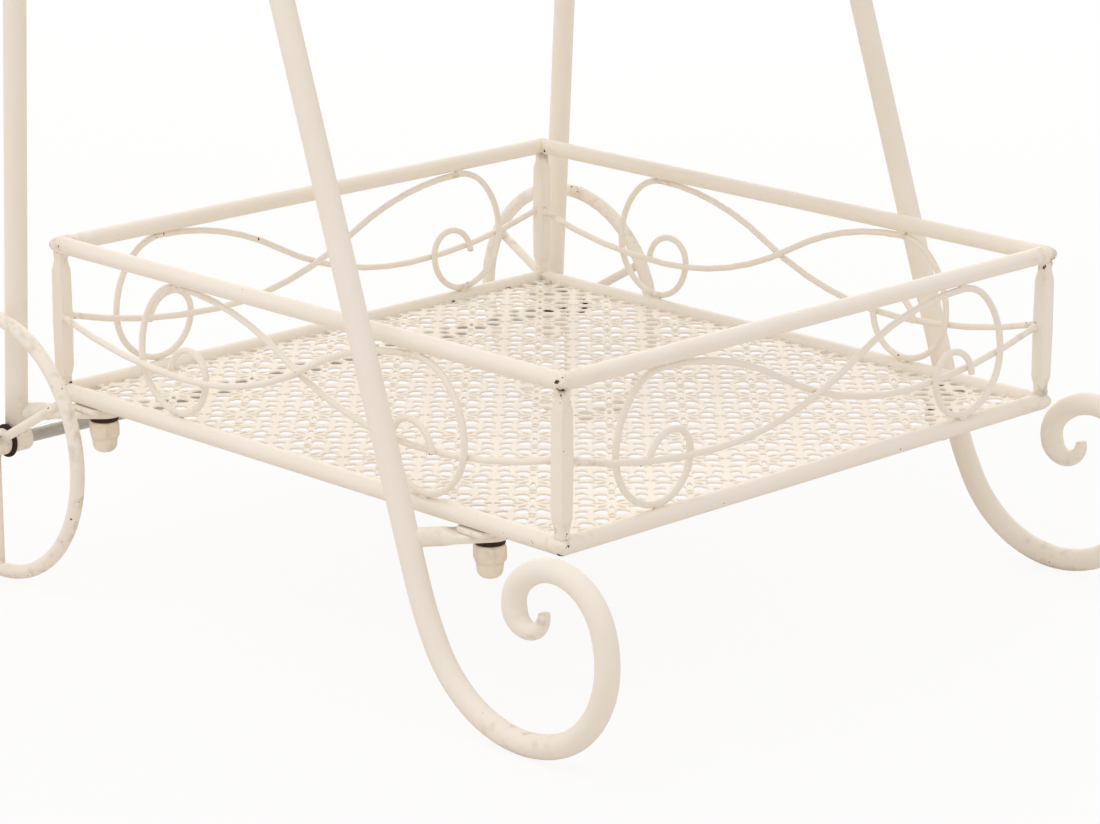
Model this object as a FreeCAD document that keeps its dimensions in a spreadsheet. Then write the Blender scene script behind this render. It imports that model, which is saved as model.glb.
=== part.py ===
import FreeCAD, Part
import math
import os
import Sketcher

# Flower cart stand: three wire trays stand between two welded side frames. Each side frame is a leg
# with a scroll foot and a nearly upright leg with a wheel. The trays hang on forged lugs, each held by
# a stud, a dark washer and a domed nut, so that the cart comes apart for packing.
# +X is the scroll-foot end, +Y the left side, +Z up. The origin is on the ground, under the middle.

# Each size: name, value in millimetres (angles in degrees), what it is.
SIZES = [
    ("leg_bar", 12.0, "diameter of the leg bars"),
    ("leg_spread", 311.0, "length of the cart at axle height, from leg centre to leg centre"),
    ("scroll_lean", 18.8, "lean of the scroll legs"),
    ("wheel_lean", 3.0, "lean of the wheel legs"),
    ("knee_radius", 167.0, "first, slow bend of the scroll foot"),
    ("knee_angle", -60.0, "heading where the slow bend ends"),
    ("heel_radius", 67.0, "bend that rests on the ground"),
    ("heel_angle", 20.5, "heading where the heel ends"),
    ("toe_radius", 50.0, "bend at the front of the foot"),
    ("toe_angle", 110.5, "heading where the toe ends"),
    ("curl_radius", 32.0, "bend over the top of the foot"),
    ("curl_angle", 228.5, "heading where the curl ends"),
    ("inner_radius", 15.5, "bend inside the curl"),
    ("inner_angle", 289.5, "heading where the inner bend ends"),
    ("tip_radius", 9.8, "last bend of the scroll foot"),
    ("tip_angle", 457.5, "heading of the tip"),
    ("tip_bar", 5.5, "diameter of the drawn-out tip"),
    ("crook_rise", 18.0, "height of the crook's start over the joint of the two legs"),
    ("crook_radius", 36.0, "bend at the top of the wheel legs"),
    ("crook_angle", 215.0, "heading where the crook meets the handle"),
    ("crook_curl", 16.0, "last bend of the crook"),
    ("crook_tip_angle", 350.0, "heading of the crook's tip"),
    ("rail_bar", 9.0, "diameter of the tray rails"),
    ("rail_height", 84.0, "from the bottom of a tray to the centre of its top rail"),
    ("tray_width", 354.0, "width of a tray, from rail centre to rail centre"),
    ("leg_offset", 22.5, "from the centre of a side rail out to the centre of its legs"),
    ("front_overhang", 83.5, "how far a tray reaches past the scroll legs"),
    ("rear_inset", 13.0, "how far a tray stays clear of the wheel legs"),
    ("lower_tray_height", 93.5, "from the ground to the bottom of the lower tray"),
    ("middle_tray_rise", 286.0, "from the lower tray to the middle tray"),
    ("upper_tray_rise", 266.0, "from the middle tray to the upper tray"),
    ("floor_sheet", 1.0, "thickness of a tray floor"),
    ("opening_pitch", 57.0, "from one opening of a tray floor to the next"),
    ("floor_bar", 23.0, "width of the sheet between two openings of a tray floor"),
    ("post_end", 3.4, "width of a corner post at its ends"),
    ("post_shoulder", 6.4, "width of a corner post at its shoulders"),
    ("post_middle", 7.4, "width of a corner post half way up"),
    ("post_taper", 12.0, "length of a corner post's tapered ends"),
    ("wire", 3.5, "thickness of the scroll wires"),
    ("wire_start", 45.4, "height on the corner post where a scroll wire starts"),
    ("wire_dip", 31.2, "lowest height of a scroll wire beside the post"),
    ("dip_share", 0.355, "share of a wire's run that it takes to come down to the dip"),
    ("turn_share", 0.55, "share of a wire's climb before its bend reverses"),
    ("side_weld_share", 0.487, "place of the loop's weld on the long sides, as a share of half the side"),
    ("end_weld_share", 0.61, "place of the loop's weld on the front and back"),
    ("loop_top", 27.5, "radius of a loop just past its weld"),
    ("loop_side", 42.7, "radius of a loop's outer side"),
    ("loop_back", 22.3, "radius of a loop as it comes up again"),
    ("loop_turn", 12.6, "radius at the top of a loop's inner turn"),
    ("loop_tip", 16.0, "radius of a loop's last bend"),
    ("loop_angle", -445.0, "heading of a loop's tip"),
    ("loop_clearance", 2.5, "least clearance between a loop and the corner post beside it"),
    ("tab_length", 20.0, "length of a bolt tab along the rail"),
    ("tab_reach", 27.0, "reach of a bolt tab from the outside of the rail"),
    ("tab_plate", 3.0, "thickness of a bolt tab"),
    ("stud_inset", 10.0, "how far the studs are inside the side rails"),
    ("front_lug_reach", 23.0, "how far a front stud is ahead of its leg"),
    ("rear_lug_reach", 33.0, "how far a rear stud is ahead of its leg"),
    ("lug_stub", 9.5, "diameter of a lug where it leaves the leg"),
    ("lug_stub_length", 9.0, "length of the round part of a lug"),
    ("lug_forge", 8.0, "length over which a lug is forged flat"),
    ("lug_plate", 4.0, "thickness of a lug's flat end"),
    ("lug_width", 18.0, "width of a lug's flat end"),
    ("stud", 8.0, "diameter of the studs"),
    ("stud_clearance", 0.4, "clearance round a stud or screw"),
    ("thread_clearance", 0.1, "clearance of a stud in its nut"),
    ("thread_reach", 8.0, "length of a stud inside its nut"),
    ("washer", 16.0, "diameter of the dark washers"),
    ("washer_plate", 2.5, "thickness of the dark washers"),
    ("nut_corners", 16.0, "width of a domed nut across its corners"),
    ("nut_hexagon", 7.0, "height of a domed nut's hexagon"),
    ("nut_dome", 9.0, "height of a domed nut's dome"),
    ("wheel_radius", 73.5, "outer radius of the wheels"),
    ("rim_bar", 8.0, "diameter of the rim bar"),
    ("spoke", 5.0, "diameter of the spokes"),
    ("hub", 14.0, "outer diameter of the hubs and of the axle bushes"),
    ("hub_length", 12.0, "length of a hub"),
    ("bush_length", 12.0, "length of an axle bush"),
    ("axle", 8.0, "diameter of the axle rod"),
    ("bush_clearance", 0.05, "radial clearance of the axle rod in its bushes"),
    ("wheel_clearance", 0.08, "radial running clearance of the hubs on the axle rod"),
    ("axle_washer", 18.0, "diameter of the axle washers"),
    ("axle_washer_plate", 1.5, "thickness of the axle washers"),
    ("side_play", 0.3, "play of a hub at each side, between its washers"),
    ("weld_gap", 0.05, "gap that a spoke's weld fills at the rim"),
    ("handle_bar", 12.0, "diameter of the handle bar"),
    ("handle_screw", 6.0, "diameter of the handle screws"),
    ("handle_screw_depth", 12.0, "length of a handle screw inside the handle bar"),
    ("leg_chord", 0.6, "how far a leg's flats lie inside its true bend"),
    ("rim_chord", 0.6, "how far a rim's flats lie inside its true bend"),
    ("wire_chord", 1.35, "how far a scroll wire's flats lie inside its true bend"),
]
LEG_SIDES = 12
RAIL_SIDES = 12
WIRE_SIDES = 4
SMALL_SIDES = 8
SPOKES = 3

doc = FreeCAD.newDocument("flower_cart_stand")
sheet = doc.addObject("Spreadsheet::Sheet", "Sizes")
for row, (name, value, meaning) in enumerate(SIZES, start=1):
    sheet.set(f"A{row}", str(value))
    sheet.setAlias(f"A{row}", name)
    sheet.set(f"B{row}", meaning)
doc.recompute()
size = {name: float(sheet.get(name)) for name, _, _ in SIZES}
parts = []


# ---- small helpers ----------------------------------------------------------------------------------

def part(label, obj):
    """Name a finished sub-part and put it on the list of files to write."""
    obj.Label = label
    parts.append(obj)
    return obj


def bind(obj, **expressions):
    """Tie properties of an object to the sheet, one expression each."""
    for name, expression in expressions.items():
        obj.setExpression(name, expression)
    return obj


def primitive(kind, name, **expressions):
    """A Part primitive whose sizes are expressions."""
    return bind(doc.addObject(kind, name), **expressions)


def at(x, y, z, axis=(0, 0, 1), angle=0):
    """A placement at a point, turned about an axis."""
    return FreeCAD.Placement(FreeCAD.Vector(x, y, z), FreeCAD.Rotation(FreeCAD.Vector(*axis), angle))


def copies(label, master, placements):
    """Several equal pieces that share one node."""
    links = []
    for number, placement in enumerate(placements, start=1):
        link = doc.addObject("App::Link", f"{label}_{number}")
        link.LinkedObject = master
        link.LinkTransform = False
        link.Placement = placement
        links.append(link)
    group = doc.addObject("Part::Compound", label)
    group.Links = links
    return part(label, group)


def computed(label, shape, placement=None):
    """A piece whose shape is worked out below, where no feature draws it."""
    obj = doc.addObject("Part::Feature", label)
    obj.Shape = shape
    if placement is not None:
        obj.Placement = placement
    return obj


def origin_plane(body, role):
    """One of a body's own origin planes."""
    return next(item for item in body.Origin.OriginFeatures if item.Role == role)


def new_sketch(body, name, role, offset=None):
    """An empty sketch on one of a body's origin planes, moved along the plane's normal."""
    sketch = body.newObject("Sketcher::SketchObject", name)
    sketch.AttachmentSupport = [(origin_plane(body, role), "")]
    sketch.MapMode = "FlatFace"
    if offset is not None:
        sketch.setExpression("AttachmentOffset.Base.z", offset)
    return sketch


def name_constraint(sketch, constraint, name, expression):
    """Add a constraint and tie it to the sheet."""
    index = sketch.addConstraint(constraint)
    sketch.renameConstraint(index, name)
    sketch.setExpression(f"Constraints.{name}", expression)


def value_of(expression):
    """The present value of an expression, where a sketch starts before its constraints hold it."""
    return float(sheet.evalExpression(expression))


def rectangle(body, name, role, across, along, offset=None):
    """A sketch of a rectangle round the origin."""
    sketch = new_sketch(body, name, role, offset)
    half_x = value_of(across) / 2
    half_y = value_of(along) / 2
    corner = [FreeCAD.Vector(x * half_x, y * half_y, 0) for x, y in ((-1, -1), (1, -1), (1, 1), (-1, 1))]
    for k in range(4):
        sketch.addGeometry(Part.LineSegment(corner[k], corner[(k + 1) % 4]), False)
    for k in range(4):
        sketch.addConstraint(Sketcher.Constraint("Coincident", k, 2, (k + 1) % 4, 1))
        sketch.addConstraint(Sketcher.Constraint("Vertical" if k % 2 else "Horizontal", k))
    sketch.addConstraint(Sketcher.Constraint("Symmetric", 0, 1, 2, 1, -1, 1))
    name_constraint(sketch, Sketcher.Constraint("DistanceX", 0, 1, 0, 2, 2 * half_x), "across", across)
    name_constraint(sketch, Sketcher.Constraint("DistanceY", 1, 1, 1, 2, 2 * half_y), "along", along)
    return sketch


def add_polygon(sketch, sides, radius, name="radius", centre=None):
    """Add a regular polygon with a corner on the X side; centre is its place on the sketch's X axis."""
    reach = 0.0 if centre is None else value_of(centre)
    middle = FreeCAD.Vector(reach, 0, 0)
    radius_now = value_of(radius)
    corner = []
    for k in range(sides):
        angle = 2 * math.pi * k / sides
        corner.append(middle + FreeCAD.Vector(math.cos(angle), math.sin(angle), 0) * radius_now)
    circle = sketch.addGeometry(Part.Circle(middle, FreeCAD.Vector(0, 0, 1), radius_now), True)
    edge = []
    for k in range(sides):
        edge.append(sketch.addGeometry(Part.LineSegment(corner[k], corner[(k + 1) % sides]), False))
    for k in range(sides):
        sketch.addConstraint(Sketcher.Constraint("Coincident", edge[k], 2, edge[(k + 1) % sides], 1))
        sketch.addConstraint(Sketcher.Constraint("PointOnObject", edge[k], 1, circle))
        if k > 1:
            sketch.addConstraint(Sketcher.Constraint("Equal", edge[0], edge[k]))
    sketch.addConstraint(Sketcher.Constraint("PointOnObject", edge[0], 1, -1))
    if centre is None:
        sketch.addConstraint(Sketcher.Constraint("Coincident", circle, 3, -1, 1))
    else:
        sketch.addConstraint(Sketcher.Constraint("PointOnObject", circle, 3, -1))
        name_constraint(sketch, Sketcher.Constraint("DistanceX", -1, 1, circle, 3, reach), "centre", centre)
    name_constraint(sketch, Sketcher.Constraint("Radius", circle, radius_now), name, radius)
    return sketch


def polygon(body, name, role, sides, radius, offset=None, centre=None):
    """A sketch of one regular polygon."""
    return add_polygon(new_sketch(body, name, role, offset), sides, radius, centre=centre)


def ring(body, name, role, sides, outer, bore):
    """A sketch of a polygon with a polygon hole."""
    sketch = polygon(body, name, role, sides, outer)
    return add_polygon(sketch, SMALL_SIDES, bore, name="bore")


def pad(body, name, sketch, length, midplane=False, downward=False):
    """A pad of a sketch."""
    feature = body.newObject("PartDesign::Pad", name)
    feature.Profile = sketch
    feature.Midplane = midplane
    feature.Reversed = downward
    feature.setExpression("Length", length)
    return feature


# ---- bent bars --------------------------------------------------------------------------------------

def walk(x, z, heading, bends, chord):
    """Follow a bar that bends in the XZ plane.

    bends lists (radius, heading at the bend's end) in degrees; the heading is measured from +X towards
    +Z. The result lists (x, z, heading) at the start, at each bend's end and between, so close
    together that a straight length lies no more than chord inside its bend.
    """
    stations = [(x, z, heading)]
    for radius, end in bends:
        side = 1 if end > heading else -1
        widest = 2 * math.degrees(math.acos(max(0.0, 1 - chord / radius)))
        steps = max(1, math.ceil(abs(end - heading) / widest - 1e-9))
        centre_x = x - side * radius * math.sin(math.radians(heading))
        centre_z = z + side * radius * math.cos(math.radians(heading))
        start = heading
        for step in range(1, steps + 1):
            heading = start + (end - start) * step / steps
            x = centre_x + side * radius * math.sin(math.radians(heading))
            z = centre_z - side * radius * math.cos(math.radians(heading))
            stations.append((x, z, heading))
    return stations


def section(station, radius, sides, turned):
    """Corners of a bar's cross-section, square to its heading."""
    x, z, heading = station
    across = FreeCAD.Vector(-math.sin(math.radians(heading)), 0, math.cos(math.radians(heading)))
    corners = []
    for k in range(sides):
        angle = 2 * math.pi * (k + turned) / sides
        aside = FreeCAD.Vector(0, radius * math.sin(angle), 0)
        corners.append(FreeCAD.Vector(x, 0, z) + across * (radius * math.cos(angle)) + aside)
    return corners


def cut_flat(corners, heading, point, normal):
    """Slide a cross-section's corners along the bar to a plane."""
    along = FreeCAD.Vector(math.cos(math.radians(heading)), 0, math.sin(math.radians(heading)))
    return [corner + along * ((point - corner).dot(normal) / along.dot(normal)) for corner in corners]


def face_of(corners):
    """A flat face with these corners."""
    return Part.Face(Part.makePolygon(corners + corners[:1]))


def skin(near, far):
    """The faces between two cross-sections, each quadrilateral whole where it is flat."""
    faces = []
    for k in range(len(near)):
        other = (k + 1) % len(near)
        quad = [near[k], near[other], far[other], far[k]]
        normal = (quad[1] - quad[0]).cross(quad[3] - quad[0]).normalize()
        if abs((quad[2] - quad[0]).dot(normal)) < 1e-6:
            faces.append(face_of(quad))
        else:
            faces.append(face_of([quad[0], quad[1], quad[2]]))
            faces.append(face_of([quad[0], quad[2], quad[3]]))
    return faces


def solid_of(sections, ring_shaped=False):
    """A closed solid through cross-sections in order; a ring's last section is its first."""
    faces = [] if ring_shaped else [face_of(sections[0]), face_of(sections[-1])]
    for near, far in zip(sections, sections[1:]):
        faces += skin(near, far)
    shell = Part.makeShell(faces)
    shell.sewShape()
    solid = Part.makeSolid(shell)
    if solid.Volume < 0:
        solid.reverse()
    return solid


# ---- where the legs and trays are -------------------------------------------------------------------

leg_radius = size["leg_bar"] / 2
rail_radius = size["rail_bar"] / 2
hub_radius = size["hub"] / 2
axle_z = size["wheel_radius"]
side_y = size["tray_width"] / 2 + size["leg_offset"]
side_rule = "(Sizes.tray_width / 2 + Sizes.leg_offset)"
scroll_slope = math.tan(math.radians(size["scroll_lean"]))
wheel_slope = math.tan(math.radians(size["wheel_lean"]))
scroll_heading = size["scroll_lean"] - 90
wheel_heading = 90 - size["wheel_lean"]

foot_bends = [
    (size["knee_radius"], size["knee_angle"]),
    (size["heel_radius"], 0.0),
    (size["heel_radius"], size["heel_angle"]),
    (size["toe_radius"], 90.0),
    (size["toe_radius"], size["toe_angle"]),
    (size["curl_radius"], size["curl_angle"]),
    (size["inner_radius"], size["inner_angle"]),
    (size["tip_radius"], size["tip_angle"]),
]

# The foot is drawn once from its first bend to find how far it comes down and forward.
trial = walk(0.0, 0.0, scroll_heading, foot_bends, size["leg_chord"])
foot_top = leg_radius - min(z for x, z, heading in trial)
foot_reach = leg_radius + max(x for x, z, heading in trial)
front = size["leg_spread"] - (foot_top - axle_z) * scroll_slope + foot_reach
axle_x = (size["wheel_radius"] - front) / 2


def scroll_x(z):
    """X of a scroll leg's centre-line at a height."""
    return axle_x + size["leg_spread"] - (z - axle_z) * scroll_slope


def wheel_x(z):
    """X of a wheel leg's centre-line at a height."""
    return axle_x + (z - axle_z) * wheel_slope


class Tray:
    """Place and size of one tray; height is the expression for its bottom."""

    def __init__(self, name, bottom, height):
        self.name = name
        self.bottom = bottom
        slopes = "(tan(Sizes.scroll_lean) + tan(Sizes.wheel_lean))"
        reach = "Sizes.leg_spread + Sizes.front_overhang - Sizes.rear_inset"
        self.length_rule = f"{reach} - ({height} - Sizes.wheel_radius) * {slopes}"
        self.rear = wheel_x(bottom) + size["rear_inset"]
        self.front = scroll_x(bottom) + size["front_overhang"]
        self.length = self.front - self.rear
        self.middle = (self.front + self.rear) / 2


lower_height = size["lower_tray_height"]
middle_height = lower_height + size["middle_tray_rise"]
upper_height = middle_height + size["upper_tray_rise"]
lower_rule = "Sizes.lower_tray_height"
middle_rule = lower_rule + " + Sizes.middle_tray_rise"
upper_rule = middle_rule + " + Sizes.upper_tray_rise"
trays = [
    Tray("lower", lower_height, lower_rule),
    Tray("middle", middle_height, middle_rule),
    Tray("upper", upper_height, upper_rule),
]


# ---- legs -------------------------------------------------------------------------------------------

def scroll_leg_shape():
    """Scroll leg: straight down from its joint with the wheel leg, then round the foot to a thin tip."""
    wheel_face = leg_radius / math.cos(math.radians(size["wheel_lean"]))
    joint_z = axle_z + (size["leg_spread"] - wheel_face) / (scroll_slope + wheel_slope)
    top = (scroll_x(joint_z), joint_z, scroll_heading)
    stations = [top] + walk(scroll_x(foot_top), foot_top, scroll_heading, foot_bends, size["leg_chord"])
    taper_start = size["inner_angle"]
    taper_length = size["tip_angle"] - taper_start
    sections = []
    for station in stations:
        share = max(0.0, (station[2] - taper_start) / taper_length)
        radius = leg_radius + (size["tip_bar"] / 2 - leg_radius) * share
        sections.append(section(station, radius, LEG_SIDES, 0))
    point = FreeCAD.Vector(wheel_x(joint_z) + wheel_face, 0, joint_z)
    heading = math.radians(wheel_heading)
    normal = FreeCAD.Vector(math.sin(heading), 0, -math.cos(heading))
    sections[0] = cut_flat(sections[0], scroll_heading, point, normal)
    return solid_of(sections), joint_z


def wheel_leg_stations(joint_z):
    """Centre-line of a wheel leg, from its bush up to the crook's tip."""
    bottom_z = axle_z + hub_radius
    crook_z = joint_z + size["crook_rise"]
    bends = [
        (size["crook_radius"], 180.0),
        (size["crook_radius"], size["crook_angle"]),
        (size["crook_curl"], size["crook_tip_angle"]),
    ]
    bent = walk(wheel_x(crook_z), crook_z, wheel_heading, bends, size["leg_chord"])
    return [(wheel_x(bottom_z), bottom_z, wheel_heading)] + bent


def wheel_leg_shape(stations, handle_x, handle_z):
    """Wheel leg: up from its bush, then back and down in a crook that the handle screw goes through."""
    sections = [section(station, leg_radius, LEG_SIDES, 0) for station in stations]
    bottom = FreeCAD.Vector(stations[0][0], 0, stations[0][1])
    sections[0] = cut_flat(sections[0], wheel_heading, bottom, FreeCAD.Vector(0, 0, 1))
    hole_radius = (size["handle_screw"] / 2 + size["stud_clearance"]) / math.cos(math.pi / SMALL_SIDES)
    hole = prism_along_y(handle_x, handle_z, hole_radius, -size["leg_bar"], size["leg_bar"], SMALL_SIDES)
    return solid_of(sections).cut(hole)


def prism_along_y(x, z, radius, start, end, sides):
    """A plain prism whose axis lies along Y."""
    corners = []
    for k in range(sides):
        angle = 2 * math.pi * (k + 0.5) / sides
        corners.append(FreeCAD.Vector(x + radius * math.cos(angle), start, z + radius * math.sin(angle)))
    return face_of(corners).extrude(FreeCAD.Vector(0, end - start, 0))


scroll_leg, joint_z = scroll_leg_shape()
leg_stations = wheel_leg_stations(joint_z)
handle_x, handle_z, _ = next(s for s in leg_stations if math.isclose(s[2], size["crook_angle"]))
wheel_leg = wheel_leg_shape(leg_stations, handle_x, handle_z)
for side, sign in (("left", 1), ("right", -1)):
    part(f"scroll_leg_{side}", computed(f"scroll_leg_{side}", scroll_leg, at(0, sign * side_y, 0)))
    part(f"wheel_leg_{side}", computed(f"wheel_leg_{side}", wheel_leg, at(0, sign * side_y, 0)))


# ---- lugs that carry the trays ----------------------------------------------------------------------

def lug_shape(reach):
    """Lug along +X from a leg's centre: a round stub forged into a flat eye round the stud."""
    across = size["leg_offset"] + size["stud_inset"]
    length = math.hypot(reach, across)
    stub_end = leg_radius + size["lug_stub_length"]
    flat_start = stub_end + size["lug_forge"]
    half_width = size["lug_width"] / 2
    half_plate = size["lug_plate"] / 2
    sections = []
    stub = size["lug_stub"] / 2
    for x, wide, thick in ((0.0, stub, stub), (stub_end, stub, stub), (flat_start, half_width, half_plate)):
        corners = []
        for k in range(SMALL_SIDES):
            angle = 2 * math.pi * (k + 0.5) / SMALL_SIDES
            full = math.cos(math.pi / SMALL_SIDES)
            y = wide * math.cos(angle) / full
            z = thick * max(-1.0, min(1.0, math.sin(angle) / full))
            corners.append(FreeCAD.Vector(x, y, z))
        sections.append(corners)
    outline = [FreeCAD.Vector(flat_start, -half_width, -half_plate)]
    for k in range(SMALL_SIDES // 2 + 1):
        angle = math.pi * (k / (SMALL_SIDES // 2) - 0.5)
        x = length + half_width * math.cos(angle)
        outline.append(FreeCAD.Vector(x, half_width * math.sin(angle), -half_plate))
    outline.append(FreeCAD.Vector(flat_start, half_width, -half_plate))
    plate = face_of(outline).extrude(FreeCAD.Vector(0, 0, size["lug_plate"]))
    hole_radius = (size["stud"] / 2 + size["stud_clearance"]) / math.cos(math.pi / SMALL_SIDES)
    hole = []
    for k in range(SMALL_SIDES):
        angle = 2 * math.pi * k / SMALL_SIDES
        x = length + hole_radius * math.cos(angle)
        hole.append(FreeCAD.Vector(x, hole_radius * math.sin(angle), -half_plate))
    plate = plate.cut(face_of(hole).extrude(FreeCAD.Vector(0, 0, size["lug_plate"])))
    return solid_of(sections).fuse(plate).removeSplitter()


def lugs(label, reach, leg_x, leg, sign):
    """The three lugs of one leg, one under each tray, cut to fit round the leg and the axle's bush."""
    across = size["leg_offset"] + size["stud_inset"]
    angle = -sign * math.degrees(math.atan2(across, reach))
    shape = lug_shape(reach)
    leg_there = leg.copy()
    leg_there.Placement = at(0, sign * side_y, 0)
    bush_start = FreeCAD.Vector(axle_x, sign * side_y - size["bush_length"] / 2, axle_z)
    bush_there = Part.makeCylinder(hub_radius, size["bush_length"], bush_start, FreeCAD.Vector(0, 1, 0))
    group = []
    for tray in trays:
        z = tray.bottom - size["tab_plate"] - size["lug_plate"] / 2
        piece = shape.copy()
        piece.Placement = at(leg_x(z), sign * side_y, z, (0, 0, 1), angle)
        group.append(piece.cut([leg_there, bush_there]))
    part(label, computed(label, Part.makeCompound(group)))


for side, sign in (("left", 1), ("right", -1)):
    lugs(f"front_lugs_{side}", size["front_lug_reach"], scroll_x, scroll_leg, sign)
    lugs(f"rear_lugs_{side}", size["rear_lug_reach"], wheel_x, wheel_leg, sign)


def stud_places(tray, z):
    """The four stud positions of a tray, at a height."""
    mid = tray.bottom - size["tab_plate"] - size["lug_plate"] / 2
    y = size["tray_width"] / 2 - size["stud_inset"]
    columns = (scroll_x(mid) + size["front_lug_reach"], wheel_x(mid) + size["rear_lug_reach"])
    return [at(x, sign * y, z) for x in columns for sign in (1, -1)]


# ---- masters that the trays and the axle repeat -----------------------------------------------------

def round_bore(radius, sides=SMALL_SIDES):
    """Expression for the corner radius of a polygon bore that a round bar of this radius fits."""
    return f"({radius}) / cos({180 / sides})"


def post_master():
    """Corner post, forged thicker half way up, standing on z = 0."""
    height = size["rail_height"] - 1.5 * size["rail_bar"]
    levels = [
        (size["post_end"], 0),
        (size["post_shoulder"], size["post_taper"]),
        (size["post_middle"], height / 2),
        (size["post_shoulder"], height - size["post_taper"]),
        (size["post_end"], height),
    ]
    squares = []
    for width, level in levels:
        half = width / 2
        squares.append([FreeCAD.Vector(x * half, y * half, level) for x, y in ((1, 1), (-1, 1), (-1, -1), (1, -1))])
    return computed("post", solid_of(squares))


def tab_master():
    """Bolt tab, its top at z = 0."""
    body = doc.addObject("PartDesign::Body", "tab")
    plan = rectangle(body, "tab_plan", "XY_Plane", "Sizes.tab_length", "Sizes.tab_reach")
    pad(body, "tab_pad", plan, "Sizes.tab_plate", downward=True)
    return body


def stud_master():
    """Stud, welded to its tab at z = 0 and hanging down."""
    body = doc.addObject("PartDesign::Body", "stud")
    plan = polygon(body, "stud_plan", "XY_Plane", SMALL_SIDES, "Sizes.stud / 2")
    pad(body, "stud_pad", plan, "Sizes.lug_plate + Sizes.washer_plate + Sizes.thread_reach", downward=True)
    return body


def washer_master(name, outer, bore, thickness):
    """Washer, its top at z = 0."""
    body = doc.addObject("PartDesign::Body", name)
    plan = ring(body, f"{name}_plan", "XY_Plane", SMALL_SIDES, f"{outer} / 2", round_bore(bore))
    pad(body, f"{name}_pad", plan, thickness, downward=True)
    return body


def nut_master():
    """Domed nut, its seat at z = 0 and its dome below."""
    body = doc.addObject("PartDesign::Body", "cap_nut")
    hexagon = polygon(body, "nut_hexagon", "XY_Plane", 6, "Sizes.nut_corners / 2")
    pad(body, "nut_pad", hexagon, "Sizes.nut_hexagon", downward=True)
    whole_height = "Sizes.nut_hexagon + Sizes.nut_dome"
    core = polygon(body, "nut_core", "XY_Plane", 6, "Sizes.nut_corners * 0.42")
    core_pad = pad(body, "nut_core_pad", core, whole_height, downward=True)
    doc.recompute()
    tip_z = core_pad.Shape.BoundBox.ZMin
    edges = []
    for number, edge in enumerate(core_pad.Shape.Edges, start=1):
        if edge.BoundBox.ZMax < tip_z + size["nut_dome"] / 2:
            edges.append(f"Edge{number}")
    dome = body.newObject("PartDesign::Chamfer", "nut_dome")
    dome.Base = (core_pad, edges)
    dome.setExpression("Size", "Sizes.nut_dome * 0.4")
    doc.recompute()
    whole = body.Shape.Volume
    bore_radius = round_bore("Sizes.stud / 2 + Sizes.thread_clearance")
    bore = polygon(body, "nut_bore", "XY_Plane", SMALL_SIDES, bore_radius)
    pocket = body.newObject("PartDesign::Pocket", "nut_pocket")
    pocket.Profile = bore
    pocket.setExpression("Length", "Sizes.thread_reach + Sizes.thread_clearance")
    doc.recompute()
    if body.Shape.Volume > whole - 1:
        raise RuntimeError("the nut's bore cuts nothing")
    return body


post = post_master()
tab = tab_master()
stud = stud_master()
washer = washer_master("washer", "Sizes.washer", "Sizes.stud / 2 + Sizes.stud_clearance", "Sizes.washer_plate")
cap_nut = nut_master()


# ---- trays ------------------------------------------------------------------------------------------

def rail_ring(label, tray, height):
    """Four rails mitred and welded at the corners."""
    body = doc.addObject("PartDesign::Body", label)
    path = new_sketch(body, f"{label}_path", "XY_Plane")
    half_x = tray.length / 2
    half_y = size["tray_width"] / 2
    turns = ((1, 0), (1, 1), (-1, 1), (-1, -1), (1, -1))
    corner = [FreeCAD.Vector(x * half_x, y * half_y, 0) for x, y in turns]
    for k in range(5):
        path.addGeometry(Part.LineSegment(corner[k], corner[(k + 1) % 5]), False)
        path.addConstraint(Sketcher.Constraint("Horizontal" if k in (1, 3) else "Vertical", k))
    for k in range(5):
        path.addConstraint(Sketcher.Constraint("Coincident", k, 2, (k + 1) % 5, 1))
    path.addConstraint(Sketcher.Constraint("PointOnObject", 0, 1, -1))
    path.addConstraint(Sketcher.Constraint("Symmetric", 0, 2, 2, 2, -1, 1))
    name_constraint(path, Sketcher.Constraint("DistanceX", 3, 1, 3, 2, 2 * half_x), "along", tray.length_rule)
    name_constraint(path, Sketcher.Constraint("DistanceY", 2, 2, 2, 1, 2 * half_y), "across", "Sizes.tray_width")
    centre = f"({tray.length_rule}) / 2"
    bar = polygon(body, f"{label}_bar", "XZ_Plane", RAIL_SIDES, "Sizes.rail_bar / 2", centre=centre)
    pipe = body.newObject("PartDesign::AdditivePipe", f"{label}_pipe")
    pipe.Profile = bar
    pipe.Spine = (path, [f"Edge{k}" for k in range(1, 6)])
    pipe.Transition = "Right corner"
    body.Placement = at(tray.middle, 0, height)
    return part(label, body)


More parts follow.
